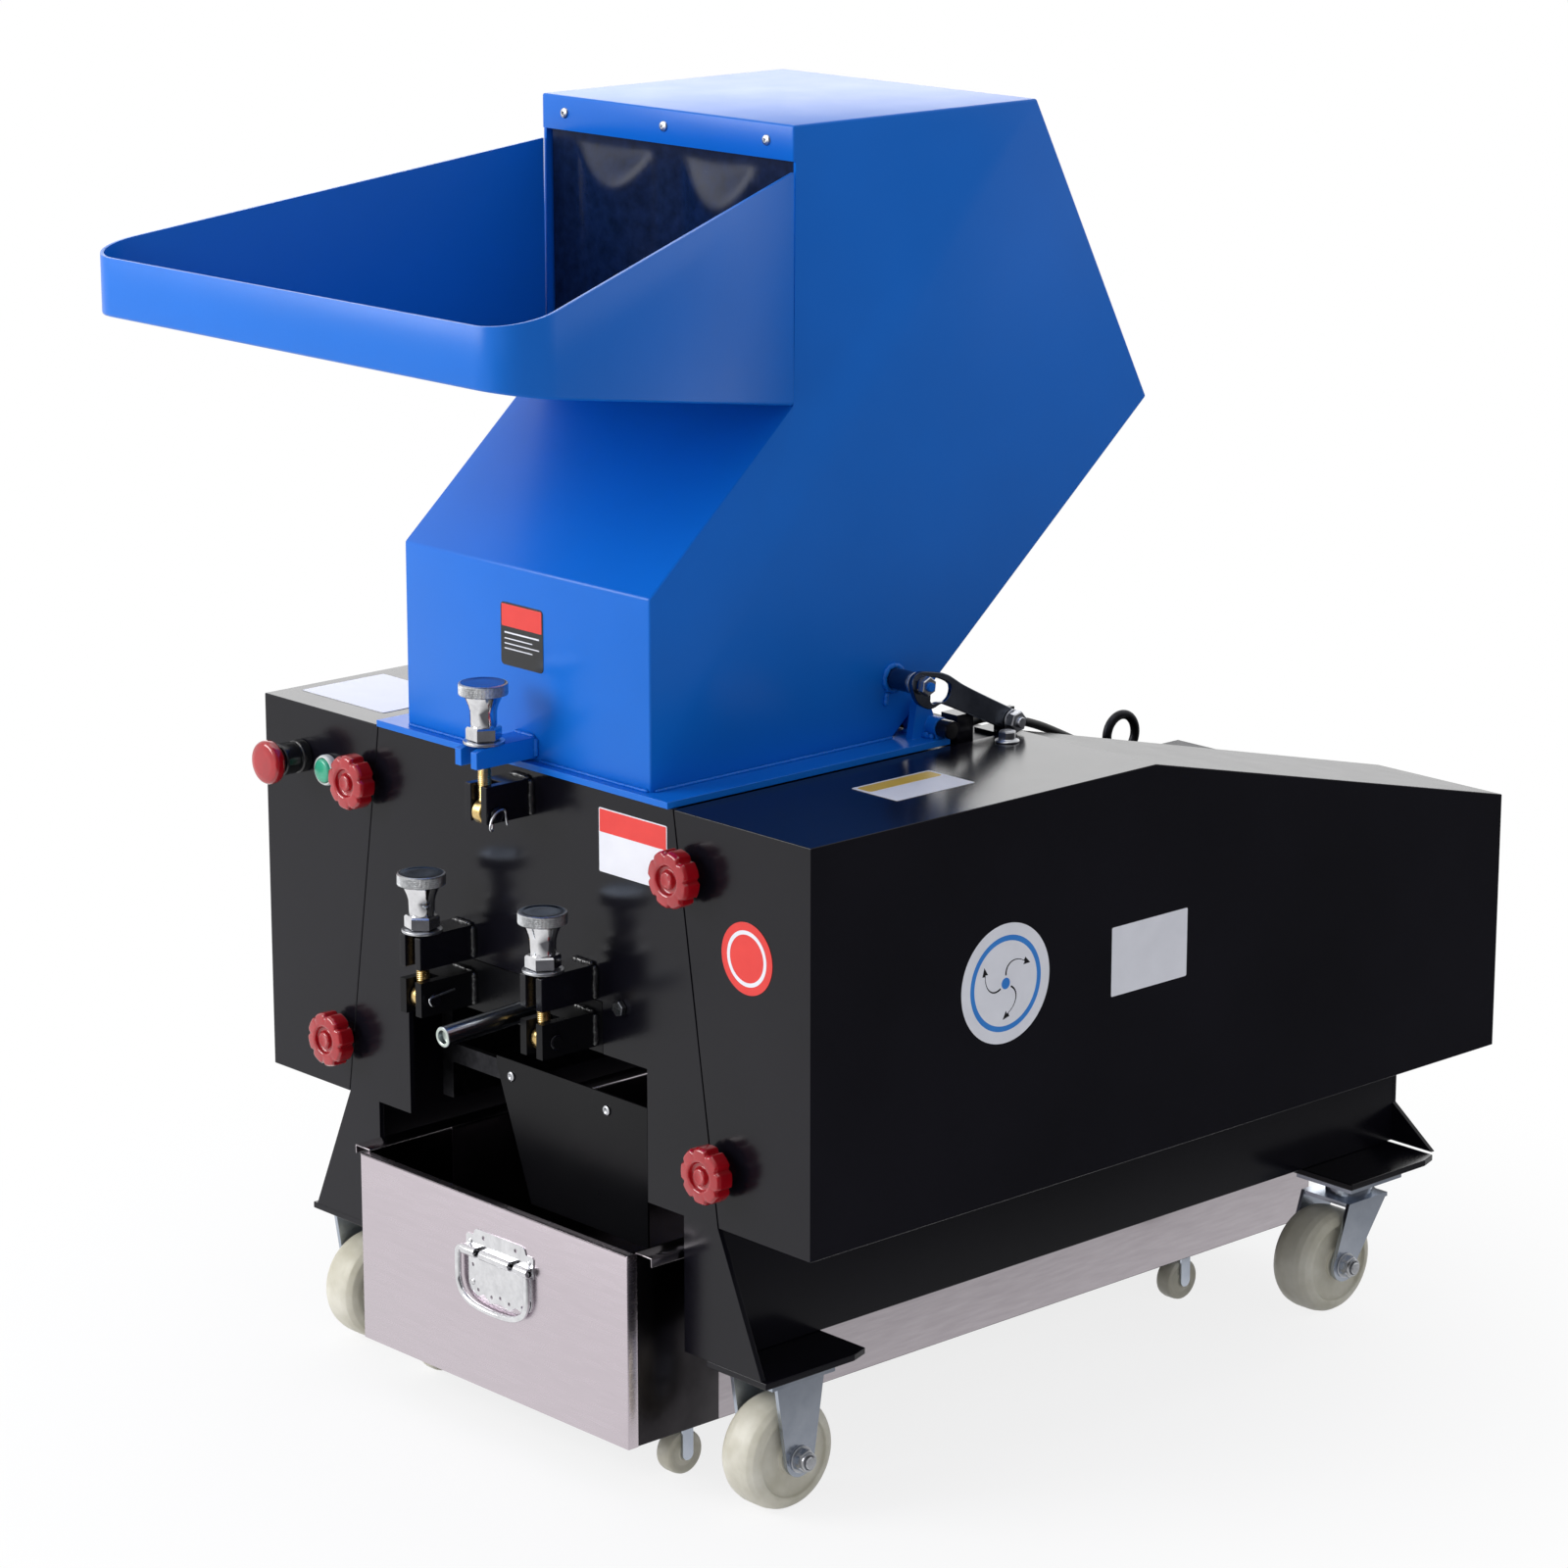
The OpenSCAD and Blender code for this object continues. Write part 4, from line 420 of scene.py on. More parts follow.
def rounded(profile, radius, steps=4):
    """A profile whose inner corners are rounded."""
    result = [profile[0]]
    for a, b, c in zip(profile, profile[1:], profile[2:]):
        pa, pb, pc = Vector(a), Vector(b), Vector(c)
        cut = min(radius, (pa - pb).length * 0.45, (pc - pb).length * 0.45)
        if cut < 1e-4:
            result.append(b)
            continue
        start, end = pb + (pa - pb).normalized() * cut, pb + (pc - pb).normalized() * cut
        for k in range(steps + 1):
            t = k / steps
            result.append(tuple(start * (1 - t) ** 2 + pb * 2 * t * (1 - t) + end * t * t))
    result.append(profile[-1])
    return result


def merge(parts):
    """Joins lists of points and faces."""
    points, faces = [], []
    for p, f in parts:
        base = len(points)
        points += list(p)
        faces += [tuple(base + k for k in face) for face in f]
    return points, faces


def box_mesh(lo, hi):
    x0, y0, z0 = lo
    x1, y1, z1 = hi
    points = [(x, y, z) for z in (z0, z1) for y in (y0, y1) for x in (x0, x1)]
    faces = [(0, 2, 3, 1), (4, 5, 7, 6), (0, 1, 5, 4), (2, 6, 7, 3), (0, 4, 6, 2), (1, 3, 7, 5)]
    return points, faces


def hexagon(flats, h0, h1, origin, direction, turn_by=0.0, chamfer=0.12):
    """A hexagon nut's solid with chamfered corners."""
    w, u, v = axes(direction)
    corner = flats / math.sqrt(3)
    points, faces = [], []
    drop = (h1 - h0) * chamfer
    rows = [(0.9, h0), (1.0, h0 + drop), (1.0, h1 - drop), (0.9, h1)]
    for scale, h in rows:
        for k in range(6):
            angle = math.tau * k / 6 + turn_by
            across = u * math.cos(angle) + v * math.sin(angle)
            points.append(Vector(origin) + w * h + across * corner * scale)
    for row in range(3):
        for k in range(6):
            n = (k + 1) % 6
            faces.append((row * 6 + k, row * 6 + n, row * 6 + 6 + n, row * 6 + 6 + k))
    faces.append(tuple(range(5, -1, -1)))
    faces.append(tuple(range(18, 24)))
    return points, faces


def pipe(points, radius, sides=12, closed=False, shape=None):
    """A tube along points, with round ends closed flat."""
    path = [Vector(p) for p in points]
    count = len(path)
    rings, verts, faces = [], [], []
    last = None
    for k, p in enumerate(path):
        before = path[(k - 1) % count] if closed or k else p
        after = path[(k + 1) % count] if closed or k < count - 1 else p
        w = (after - before).normalized()
        if last is None:
            u = w.orthogonal().normalized()
        else:
            u = (last - w * last.dot(w)).normalized()
        last = u
        v = w.cross(u)
        ring = []
        for s in range(sides):
            angle = math.tau * s / sides
            r = shape(k, angle) * radius if shape else radius
            ring.append(len(verts))
            verts.append(p + (u * math.cos(angle) + v * math.sin(angle)) * r)
        rings.append(ring)
    pairs = list(zip(rings, rings[1:])) + ([(rings[-1], rings[0])] if closed else [])
    for a, b in pairs:
        for s in range(sides):
            n = (s + 1) % sides
            faces.append((a[s], a[n], b[n], b[s]))
    if not closed:
        faces.append(tuple(reversed(rings[0])))
        faces.append(tuple(rings[-1]))
    return verts, faces


def smooth_path(points, per=6):
    """A path of more points through the given ones."""
    path = [Vector(p) for p in points]
    ext = [path[0] * 2 - path[1], *path, path[-1] * 2 - path[-2]]
    result = []
    for a, b, c, d in zip(ext, ext[1:], ext[2:], ext[3:]):
        for k in range(per):
            t = k / per
            result.append(
                0.5 * (2 * b + (c - a) * t + (2 * a - 5 * b + 4 * c - d) * t * t
                       + (3 * b - a - 3 * c + d) * t ** 3)
            )
    result.append(path[-1])
    return result


def bead(name, points, radius, mat, body, seed=1, squash=1.0):
    """A weld bead: a lumpy run along points."""
    rng = random.Random(seed)
    path = smooth_path(points, 3)
    total = sum((b - a).length for a, b in zip(path, path[1:]))
    steps = max(8, int(total / (radius * 0.55)))
    even = resample(path, steps)
    lumps = [0.8 + 0.32 * rng.random() for _ in even]
    offsets = [Vector([(rng.random() - 0.5) * radius * 0.3 for _ in range(3)]) for _ in even]
    moved = [p + o for p, o in zip(even, offsets)]
    lumps[0] = lumps[-1] = 0.45
    points, faces = pipe(moved, radius, 8, shape=lambda k, angle: lumps[k] * squash)
    return from_points(name, points, faces, mat, body, smooth=80)


def resample(path, steps):
    lengths = [0.0]
    for a, b in zip(path, path[1:]):
        lengths.append(lengths[-1] + (b - a).length)
    result, j = [], 0
    for k in range(steps + 1):
        want = lengths[-1] * k / steps
        while j < len(path) - 2 and lengths[j + 1] < want:
            j += 1
        piece = lengths[j + 1] - lengths[j]
        t = (want - lengths[j]) / piece if piece else 0
        result.append(path[j].lerp(path[j + 1], t))
    return result


def plate(name, loops, thick, origin, right, up, mat, body, nodes=(), edge=0.3):
    """A flat plate with soft edges from closed outlines, the first the outside and the rest holes."""
    curve = bpy.data.curves.new(name, "CURVE")
    curve.dimensions = "2D"
    curve.fill_mode = "BOTH"
    edge = min(edge, thick * 0.45)
    curve.extrude = (thick / 2 - edge) * MM
    curve.bevel_depth = edge * MM
    curve.bevel_resolution = 1
    curve.offset = -edge * MM
    for index, loop in enumerate(loops):
        area = sum(a[0] * b[1] - b[0] * a[1] for a, b in zip(loop, loop[1:] + loop[:1]))
        if (area > 0) == bool(index):
            loop = loop[::-1]
        spline = curve.splines.new("POLY")
        spline.points.add(len(loop) - 1)
        for point, (a, b) in zip(spline.points, loop):
            point.co = (a * MM, b * MM, 0, 1)
        spline.use_cyclic_u = True
    temp = new_object(name + "_outline", curve)
    bpy.context.view_layer.update()
    data = bpy.data.meshes.new_from_object(temp.evaluated_get(bpy.context.evaluated_depsgraph_get()))
    bpy.data.objects.remove(temp)
    bpy.data.curves.remove(curve)
    u, v = Vector(right).normalized(), Vector(up).normalized()
    n = u.cross(v)
    data.transform(Matrix.Translation(at(*origin)) @ Matrix((u, v, n)).transposed().to_4x4())
    data.name = name
    return finish_mesh(new_object(name, data), mat, body, nodes, 35)


def circle(x, y, r, steps=32, start=0.0):
    return [(x + r * math.cos(start + math.tau * k / steps), y + r * math.sin(start + math.tau * k / steps))
            for k in range(steps)]


def round_rect(x0, y0, x1, y1, r, steps=5):
    result = []
    for cx, cy, a0 in ((x1 - r, y0 + r, -90), (x1 - r, y1 - r, 0), (x0 + r, y1 - r, 90),
            (x0 + r, y0 + r, 180)):
        for k in range(steps + 1):
            a = math.radians(a0 + 90 * k / steps)
            result.append((cx + r * math.cos(a), cy + r * math.sin(a)))
    return result


def folded(name, points, faces, thick, bend, mat, body, nodes=(), segments=3, edge=0.35):
    """A folded sheet: its outer skin with rounded bends, given its thickness inward."""
    mesh = bmesh.new()
    verts = [mesh.verts.new(at(*p)) for p in points]
    for face in faces:
        mesh.faces.new([verts[k] for k in face])
    mesh.normal_update()
    sharp = [e for e in mesh.edges if len(e.link_faces) == 2 and e.calc_face_angle(0) > math.radians(12)]
    bmesh.ops.bevel(mesh, geom=sharp, offset=bend * MM, offset_type="OFFSET", segments=segments,
        profile=0.5,
                    affect="EDGES", clamp_overlap=True)
    data = bpy.data.meshes.new(name)
    mesh.to_mesh(data)
    mesh.free()
    obj = new_object(name, data)
    solid = obj.modifiers.new("sheet", "SOLIDIFY")
    solid.thickness = thick * MM
    solid.offset = -1
    solid.use_even_offset = True
    finish_mesh(obj, mat, body, nodes, 50)
    if edge:
        bevel = obj.modifiers.new("rim", "BEVEL")
        bevel.width = edge * MM
        bevel.segments = 2
        bevel.limit_method = "ANGLE"
        bevel.angle_limit = math.radians(60)
        bevel.harden_normals = False
    return obj


# The hopper's side outline: depth and height, from the heel round to the front foot
HOPPER = [(285, 612), (305.5, 629), (600, 876), (455, 1154), (168, 1154), (168, 1124), (168, 919), (6, 777),
    (6, 612)]
HALF = 162.5


def make_hopper():
    n = len(HOPPER)
    points = [(-HALF, y, z) for y, z in HOPPER] + [(HALF, y, z) for y, z in HOPPER]
    faces = [tuple(range(n - 1, -1, -1)), tuple(range(n, 2 * n))]
    for k in range(n - 1):
        if k != 5:
            faces.append((k, k + 1, k + 1 + n, k + n))
    folded("hopper_body", points, faces, 3, 2.2, "blue_paint", "hopper", "hopper_shell")
    # Welds round the foot
    bead("hopper_weld_right", [(163.5, 10, 613), (163.5, 120, 613), (163.5, 284, 613)], 1.5, "blue_paint",
        "hopper", 3)
    bead("hopper_weld_left", [(-163.5, 10, 613), (-163.5, 120, 613), (-163.5, 284, 613)], 1.5, "blue_paint",
        "hopper", 4)
    bead("hopper_weld_front", [(-160, 5, 613), (-20, 5, 613)], 1.5, "blue_paint", "hopper", 5)
    bead("hopper_weld_front_2", [(20, 5, 613), (160, 5, 613)], 1.5, "blue_paint", "hopper", 6)


def tray_plan(half_front, half_rear, y0, y1, r, steps=10):
    """The tray's plan from its right rear corner round the front to the left rear one."""
    slant = Vector((half_front - half_rear, y0 - y1)).normalized()
    result = [Vector((half_rear, y1))]
    corner_point = Vector((half_front, y0))
    left = Vector((-1, 0))
    half_angle = (-slant).angle(left) / 2
    cut = r / math.tan(half_angle)
    start, end = corner_point - slant * cut, corner_point + left * cut
    centre = corner_point + ((-slant + left).normalized()) * r / math.sin(half_angle)
    a0, a1 = math.atan2(*(start - centre).yx), math.atan2(*(end - centre).yx)
    if a1 > a0:
        a1 -= math.tau
    arc = [centre + Vector((math.cos(a0 + (a1 - a0) * k / steps), math.sin(a0 + (a1 - a0) * k / steps))) * r
           for k in range(steps + 1)]
    result += arc
    result += [Vector((-p.x, p.y)) for p in reversed(result)]
    return result


def make_tray():
    plan = tray_plan(296, HALF, -240, 168, 40)

    def low(y):
        return 991 + (919 - 991) * (y + 240) / 408

    def rim(y):
        return 1041 + (1115 - 1041) * (y + 240) / 408

    n = len(plan)
    points = [(p.x, p.y, low(p.y)) for p in plan] + [(p.x, p.y, rim(p.y)) for p in plan]
    faces = [(k + 1, k, k + n, k + 1 + n) for k in range(n - 1)]
    faces.append(tuple(range(n)))
    obj = folded("feed_tray_body", points, faces, 3, 3, "blue_paint", "hopper", "feed_tray")
    return obj


def make_knob(name, node, x, z, turn_by):
    lobes = 8

    def shape(angle, r, h):
        if r < 14:
            return r, h
        phase = (angle + turn_by) * lobes / math.tau % 1.0
        scoop = max(0.0, 1 - abs(phase - 0.5) / 0.21)
        return r - 2.7 * (scoop * scoop * (3 - 2 * scoop)) * min(1.0, (r - 14) / 7), h

    profile = rounded(
        [(0, -0.3), (10, -0.3), (10, 8), (21.5, 8), (24.9, 9.5), (24.9, 22.5), (23, 25.2), (14.5, 26),
        (12.6, 25.2),
         (12.2, 22.6), (10.8, 21.4), (8.6, 21.4), (7.8, 22.2), (7.2, 25), (5.8, 26), (3.4, 25.2),
         (0, 24.8)], 1.3)
    turn(name, profile, (x, 0, z), (0, -1, 0), "red_plastic", name.replace("_body", ""), node, 160, shape,
        40)


def make_knobs():
    for name, x, z, turn_by in (
        ("knob_left_top", -216.6, 553.5, 0.1), ("knob_left_low", -255.7, 305.6, 0.5),
        ("knob_right_top", 216.6, 553.5, 0.3), ("knob_right_low", 255.7, 305.6, 0.0),
    ):
        make_knob(name + "_body", name, x, z, turn_by)


def make_buttons():
    sx, sz, gx, gz = -309, 558, -270, 552
    head = rounded([(0, 34.2), (15.3, 34.2), (15.3, 32), (16.2, 32.2), (20, 36), (20, 41.6), (18.2, 44.4),
                    (13, 45.6), (0, 45.8)], 1.5)
    turn("stop_button_head", head, (sx, 0, sz), (0, -1, 0), "red_plastic", "stop_button", "stop_button", 72)
    stem = rounded([(8, 12), (8, 35)], 1)
    turn("stop_button_stem", stem, (sx, 0, sz), (0, -1, 0), "red_plastic", "stop_button", (), 40)
    collar = rounded(
        [(8.3, 1), (8.3, 27), (9.2, 28.4), (13.2, 28.4), (14.6, 27), (14.6, 13.4), (13.6, 12.6),
        (13.6, 9.8),
         (15, 9), (15, 1.5), (14.4, 0.2), (8.3, 0.2)], 0.7)
    turn("stop_button_collar", collar, (sx, 0, sz), (0, -1, 0), "dark_plastic", "left_cover",
        "button_bases", 72)
    dome = rounded([(0, 4), (10.9, 4), (10.9, 8.6), (9.4, 10.2), (5.5, 10.9), (0, 11)], 1.2)
    turn("start_button_head", dome, (gx, 0, gz), (0, -1, 0), "green_plastic", "start_button",
        "start_button", 56)
    bezel = rounded([(11.15, 1), (11.15, 6.4), (11.9, 7.9), (12.8, 7.9), (14, 5.4), (14, 1.2), (13.6, 0.1),
        (11.15, 0.1)], 0.6)
    turn("start_button_bezel", bezel, (gx, 0, gz), (0, -1, 0), "pale_plastic", "left_cover", (), 56)


def thread_shape(pitch, depth, start, end):
    def shape(angle, r, h):
        if r < 3 or not start < h < end:
            return r, h
        phase = (h / pitch - angle / math.tau) % 1.0
        return r - depth * (1 - abs(2 * phase - 1)), h
    return shape


def make_swing_bolt(name, x, pin, clamp, knob_turn):
    """Eyebolt, washer and hand nut on a clamped lug."""
    py, pz = pin
    bolt, washer, nut = name + "_bolt", name + "_washer", name + "_nut"
    top = clamp - pz + 38.5
    profile = [(0, -1), (5.6, -1)]
    h = 10.0
    while h < top - 1.4:
        profile.append((5.9, h))
        h += 0.44
    profile += [(5.3, top - 0.4), (0, top)]
    eye = turned(rounded([(5.05, -6), (9.6, -6), (10.9, -4.6), (10.9, 4.6), (9.6, 6), (5.05, 6),
        (5.05, -6)], 0.8),
                 (x, py, pz), (1, 0, 0), 48)
    # The shank starts above the eye's bore
    shank = turned([(5.6, 6.5)] + profile[2:], (x, py, pz), (0, 0, 1), 40,
        thread_shape(1.75, 0.75, 11, top - 1.2))
    from_points(name + "_eyebolt_body", *merge([shank, eye]), "yellow_zinc", bolt, name + "_eyebolt", 40)
    z0 = clamp + 0.3
    ring = rounded([(6.5, 0), (17.7, 0), (18, 0.3), (18, 2.1), (17.6, 2.5), (6.5, 2.5), (6.5, 0)], 0.3, 2)
    turn(name + "_washer_body", ring, (x, py, z0), (0, 0, 1), "zinc_steel", washer, name + "_washer", 64)
    z1 = clamp + 3.1
    hexa = hexagon(27, 0.1, 12, (x, py, z1), (0, 0, 1), knob_turn)

    def knurl(angle, r, h):
        if r < 20.6 or not 39.9 < h < 49.2:
            return r, h
        a = math.sin(angle * 60 + h * 1.9) * math.sin(angle * 60 - h * 1.9)
        return r - 0.28 + 0.28 * a, h

    column = [(11.2, 12), (11.2, 12.8), (11.6, 13.4), (11.75, 24.5), (12, 26.5), (13.4, 31), (16.4, 37.5),
        (17.4, 39.2),
              (20.2, 39.5), (21.2, 40.2)]
    rim = [(21.4, 40.2 + 0.42 * k) for k in range(22)]
    crown = [(21.1, 49.6), (19.6, 50.1), (17.2, 50.2), (16.4, 49.7), (15.4, 49.5), (9, 49.9), (0, 50.1)]
    base = turned([(6, 12)] + column, (x, py, z1), (0, 0, 1), 96)
    from_points(name + "_hand_nut_body", *merge([hexa, base]), "chrome", nut, name + "_hand_nut", 35)
    turn(name + "_hand_nut_rim", [column[-1]] + rim + crown[:2], (x, py, z1), (0, 0, 1), "cast_zinc", nut,
        (), 240, knurl,
         35)
    turn(name + "_hand_nut_crown", crown[1:], (x, py, z1), (0, 0, 1), "blued_crown", nut, (), 96, None, 40)


def split_pin(name, points, radius, body):
    from_points(name, *pipe(smooth_path(points, 5), radius, 10), "zinc_steel", body, smooth=80)


def make_swing_bolts():
    make_swing_bolt("top", 0, (-40, 573), 633, 0.25)
    make_swing_bolt("left", -82, (-46, 391), 450, 0.0)
    make_swing_bolt("right", 82, (-46, 391), 450, 0.2)


def make_lug_details():
    """Clevis pins, split pins and the rough welds behind the lugs."""
    pin = rounded([(0, 0), (5.6, 0), (6.6, 0.8), (6.6, 2.6), (5.6, 3.4), (0, 3.6)], 0.6)
    for name, x, y, z in (("top", 0, -40, 573), ("left", -82, -46, 391), ("right", 82, -46, 391)):
        turn(name + "_pin_head", pin, (x + 14.4, y, z), (1, 0, 0), "black_paint", "frame", (), 32)
    split_pin("top_split_pin", [(17.4, -46, 566), (18.6, -47.5, 561), (19, -50, 563), (18.4, -48, 569),
        (18.2, -43, 575),
                                (18, -37, 577), (18, -33, 576), (18.2, -32, 570), (18.4, -30.5, 563)], 1.1,
                                "frame")
    split_pin("left_split_pin", [(-64.4, -49, 386.4), (-63.6, -51, 387.4), (-63.4, -53.4, 390), (-63.4, -54,
        393),
                                 (-63.6, -51, 394.6), (-63.6, -44, 395.4), (-63.6, -34, 396.6),
                                 (-63.6, -26, 397.4)],
              1.1, "frame")
    split_pin("right_split_pin", [(62.6, -50, 383), (62, -47, 381.6), (61.4, -42, 380.8), (61, -36, 380.4)],
        1.1, "frame")
    for name, x, z0, z1 in (("top", 0, 566, 597), ("left_low", -82, 378, 407), ("right_low", 82, 378, 407),
                            ("left_high", -82, 420, 449), ("right_high", 82, 420, 449)):
        for side in (-1, 1):
            bead(f"{name}_lug_weld_{'left' if side < 0 else 'right'}",
                 [(x + side * 15.2, -1.5, z0), (x + side * 15.6, -2, (z0 + z1) / 2),
                 (x + side * 15.2, -1.5, z1)],
                 3.3, "black_rough", "frame", int(z0) + side * 7 + int(x))
        bead(f"{name}_lug_weld_top", [(x - 13, -1.6, z1 + 0.8), (x, -2, z1 + 1.2), (x + 13, -1.6,
            z1 + 0.8)],
             2.2, "black_rough", "frame", int(z1) + 31 + int(x))
    for side in (-1, 1):
        bead(f"fork_lug_weld_{'left' if side < 0 else 'right'}",
             [(side * 15.4, 4.6, 616), (side * 15.8, 4, 624), (side * 15.2, 4.8, 632)], 2.4, "blue_paint",
             "hopper",
             9 + side)
    bead("fork_lug_weld_top", [(-13, 4.6, 633.6), (13, 4.6, 633.6)], 1.8, "blue_paint", "hopper", 15)


def make_front_details():
    from_points("panel_bolt", *merge([hexagon(12, 0, 5.6, (130, 0, 419), (0, -1, 0), 0.3)]), "bolt_dark",
        "frame",
                smooth=25)
    sheet = [(-86, 318), (-86, 310), (-40, 190), (118, 190), (118, 318)]
    plate("baffle_sheet", [sheet], 2, (0, 39, 0), (1, 0, 0), (0, 0, 1), "inner_black", "frame", "baffle",
        0.3)
    for k, x in enumerate((-65, 65)):
        turn(f"baffle_screw_{k}", rounded([(0, 1.2), (1.3, 1.4), (2.4, 2.2), (4.4, 1.6), (5, 0), (0, 0)],
            0.4),
             (x, 38, 303), (0, -1, 0), "zinc_steel", "frame", (), 32)
    for k, x in enumerate((-131.6, -0.9, 129)):
        turn(f"band_screw_{k}", rounded([(0, 0.7), (1.4, 0.8), (1.6, 2.3), (4.2, 1.5), (4.9, 0), (0, 0)],
            0.4),
             (x, 168, 1139), (0, -1, 0), "zinc_steel", "hopper", (), 32)


def make_handle_rod():
    """The cradle's handle rod with its bored end."""
    lean = math.radians(3)
    way = (0, -math.cos(lean), -math.sin(lean))
    rod = [(6, 121), (6, 128.7), (6.4, 129), (8.4, 129), (9, 128.4), (9, 1.2), (6, 1.2)]
    turn("cradle_handle_body", rod, (48, 0, 408), way, "rod_zinc", "frame", "cradle_handle", 56)
    turn("cradle_handle_end", [(6.05, 128.9), (6.4, 129.15), (8.3, 129.15), (8.5, 128.9)], (48, 0, 408),
        way, "rod_end",
         "frame", (), 56)
    turn("cradle_handle_bore", [(6, 124), (2.5, 122.5), (0, 122)], (48, 0, 408), way, "rod_end", "frame",
        (), 32)


def make_labels():
    """Bare and generic plates where the photo has signs and type plates."""
    fy = (1, 0, 0), (0, 0, 1)
    plate("type_plate", [round_rect(-28, 690, 28, 745, 4)], 0.4, (-3, 5.75, 0), *fy, "label_black",
        "hopper", edge=0.1)
    plate("type_plate_band", [round_rect(-26.5, 724, 26.5, 743.5, 1)], 0.3, (-3, 5.5, 0), *fy, "label_red",
        "hopper",
          edge=0.1)
    for k, (a, b) in enumerate(((718, 719.4), (713, 714), (708.6, 709.6), (704.2, 705.2))):
        plate(f"type_plate_rule_{k}", [round_rect(-23, a, 23 - 9 * (k % 2), b, 0.4)], 0.2, (-3, 5.5, 0),
            *fy,
              "label_white", "hopper", edge=0.05)
    plate("front_sign", [round_rect(103, 534, 190, 590, 1.5)], 0.4, (0, -0.25, 0), *fy, "label_white",
        "frame", edge=0.1)
    plate("front_sign_band", [round_rect(104, 569, 189, 589, 1)], 0.3, (0, -0.5, 0), *fy, "label_red",
        "frame", edge=0.1)
    plate("round_sign", [circle(288.4, 497, 31, 64)], 0.4, (0, -0.25, 0), *fy, "label_red", "right_cover",
        edge=0.1)
    plate("round_sign_ring", [circle(288.4, 497, 24, 64), circle(288.4, 497, 20.5, 64)], 0.3, (0, -0.5, 0),
        *fy,
          "label_white", "right_cover", edge=0.1)
    sx = (0, 1, 0), (0, 0, 1)
    plate("turn_disc", [circle(224, 447, 52.5, 96)], 0.4, (364.9, 0, 0), *sx, "label_white", "right_cover",
        edge=0.1)
    plate("turn_disc_ring", [circle(224, 447, 42, 96), circle(224, 447, 37.2, 96)], 0.3, (365.03, 0, 0),
        *sx,
          "label_blue", "right_cover", edge=0.1)
    plate("turn_disc_hub", [circle(224, 447, 5, 32)], 0.3, (365.03, 0, 0), *sx, "label_blue", "right_cover",
        edge=0.1)
    for k in range(3):
        a0 = math.radians(90 + 120 * k)
        arc = []
        for j in range(13):
            t = j / 12
            r = 7 + 20 * t
            arc.append((r, a0 - 0.95 * t * t))
        outer = [(224 + (r + 0) * math.cos(a) - 0.8 * math.sin(a),
            447 + r * math.sin(a) + 0.8 * math.cos(a)) for r, a in arc]
        inner = [(224 + r * math.cos(a) + 0.8 * math.sin(a),
            447 + r * math.sin(a) - 0.8 * math.cos(a)) for r, a in arc]
        r, a = arc[-1]
        tip = Vector((224 + r * math.cos(a), 447 + r * math.sin(a)))
        way = (tip - Vector((224 + arc[-3][0] * math.cos(arc[-3][1]),
            447 + arc[-3][0] * math.sin(arc[-3][1])))).normalized()
        side = Vector((-way.y, way.x))
        head = [tuple(tip + side * 3.4), tuple(tip + way * 7.5), tuple(tip - side * 3.4)]
        plate(f"turn_disc_arrow_{k}", [outer + head + inner[::-1]], 0.3, (365.03, 0, 0), *sx, "label_black",
              "right_cover", edge=0.05)
    plate("side_label", [round_rect(353, 408, 448, 470, 1.5)], 0.4, (364.9, 0, 0), *sx, "label_white",
        "right_cover",
          edge=0.1)
    top = (1, 0, 0), (0, 1, 0)
    plate("top_label", [round_rect(248, 155, 304, 246, 1.5)], 0.4, (0, 0, 606.2), *top, "label_white",
        "right_cover",
          edge=0.1)
    plate("top_label_band", [round_rect(251, 158, 268, 243, 3)], 0.3, (0, 0, 606.45), *top, "label_yellow",
          "right_cover", edge=0.1)
    plate("top_sheet", [round_rect(-350, 31, -230, 125, 1.5)], 0.4, (0, 0, 606.2), *top, "label_white",
        "left_cover",
          edge=0.1)


